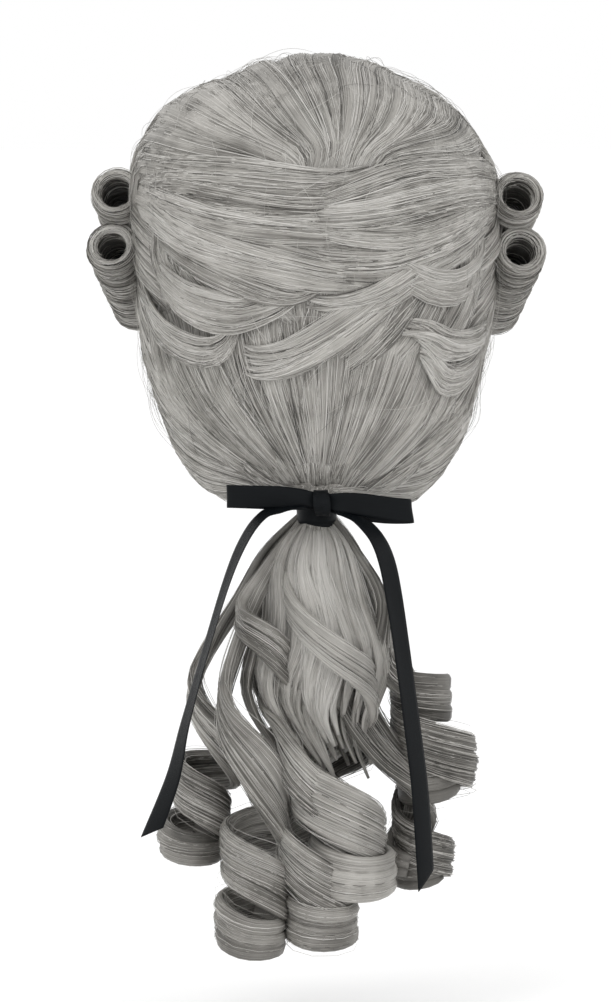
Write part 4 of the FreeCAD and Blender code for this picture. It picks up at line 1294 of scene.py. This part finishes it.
finishes = {
    "net": wovenFinish("stretchNet", (0.05, 0.048, 0.045), (0.26, 0.25, 0.235), 0.0016, 0.7,
                       0.0004, 1.0),
    "band": wovenFinish("elasticBand", (0.09, 0.088, 0.083), (0.21, 0.205, 0.195), 0.0009, 0.62),
    "lace": wovenFinish("capLace", (0.04, 0.039, 0.037), (0.30, 0.29, 0.27), 0.0022, 0.66,
                        0.0004, 0.6),
    "weft_stitching": wovenFinish("weftStitches", (0.16, 0.155, 0.145), (0.42, 0.41, 0.39),
                                  0.0012, 0.6, 0.0004),
    "elastic": wovenFinish("nylonElastic", (0.02, 0.02, 0.021), (0.09, 0.09, 0.092), 0.0008, 0.5),
    "hair_elastic": wovenFinish("hairElastic", (0.015, 0.015, 0.016), (0.06, 0.06, 0.062),
                                0.0008, 0.55),
    "hook": smoothFinish("mouldedHook", (0.012, 0.012, 0.013), (0.03, 0.03, 0.032), 0.32),
    "label": wovenFinish("blankLabel", (0.62, 0.62, 0.60), (0.82, 0.82, 0.80), 0.0005, 0.5),
    "steel": smoothFinish("flatSteelStay", (0.32, 0.32, 0.33), (0.5, 0.5, 0.51), 0.28, 1.0),
    "pins": smoothFinish("hairpinWire", (0.02, 0.02, 0.022), (0.06, 0.06, 0.064), 0.3, 0.8),
}
kept = {"cap_net": "net", "front_band": "band", "nape_band": "band", "cap_ribs": "lace",
        "weft_tracks": "weft_stitching", "care_label": "label", "ponytail_elastic": "hair_elastic"}
for side in ("left", "right"):
    kept.update({"ear_tab_" + side: "band", "ear_stay_" + side: "steel",
                 "loop_tape_" + side: "elastic", "adjuster_hook_" + side: "hook",
                 "adjuster_strap_" + side: "elastic", "strap_sleeve_" + side: "band",
                 "roll_pins_" + side: "pins"})
for node, slot in kept.items():
    shape = bpy.data.objects[node]
    shape.data.materials.clear()
    shape.data.materials.append(finishes[slot])
print("frame nodes finished")


# which pieces stand for which nodes of the frame
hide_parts("crown_hair", "side_hair_left", "side_hair_right", "swept_hair_left",
            "swept_hair_right", "back_hair")


# studio: a pale floor, pale air, and soft light from above at both sides
def makeStage():
    mesh = bpy.data.meshes.new("studioFloor")
    size, floor = 30.0, -0.405
    mesh.from_pydata([(-size, -size, floor), (size, -size, floor), (size, size, floor),
                      (-size, size, floor)], [], [(0, 1, 2, 3)])
    ground = bpy.data.objects.new("studioFloor", mesh)
    bpy.context.scene.collection.objects.link(ground)
    paint = Finish("studioPaint", Roughness=0.95, Specular_IOR_Level=0.1)
    paint.feed("Base Color", (0.97, 0.97, 0.97, 1))
    paint.feed("Emission Color", (1, 1, 1, 1))
    paint.feed("Emission Strength", 0.07)
    mesh.materials.append(paint.material)


makeStage()
studio = {"world": 1.0, "key": 14.0, "fill": 6.0}
world = bpy.data.worlds.new("studioAir")
world.use_nodes = True
world.node_tree.nodes["Background"].inputs[0].default_value = (1, 1, 1, 1)
world.node_tree.nodes["Background"].inputs[1].default_value = studio["world"]
bpy.context.scene.world = world
bpy.context.scene.view_settings.view_transform = "Standard"


def addLight(name, place, size, power):
    data = bpy.data.lights.new(name, "AREA")
    data.size, data.energy = size, power
    lamp = bpy.data.objects.new(name, data)
    bpy.context.scene.collection.objects.link(lamp)
    lamp.location = Vector(place)
    towards = Vector((0, 0, -0.1)) - lamp.location
    lamp.rotation_euler = towards.to_track_quat("-Z", "Y").to_euler()


addLight("keyLight", (1.1, 1.7, 1.8), 1.2, studio["key"])
addLight("fillLight", (-1.7, 1.6, 0.9), 1.4, studio["fill"])
print("studio ready")
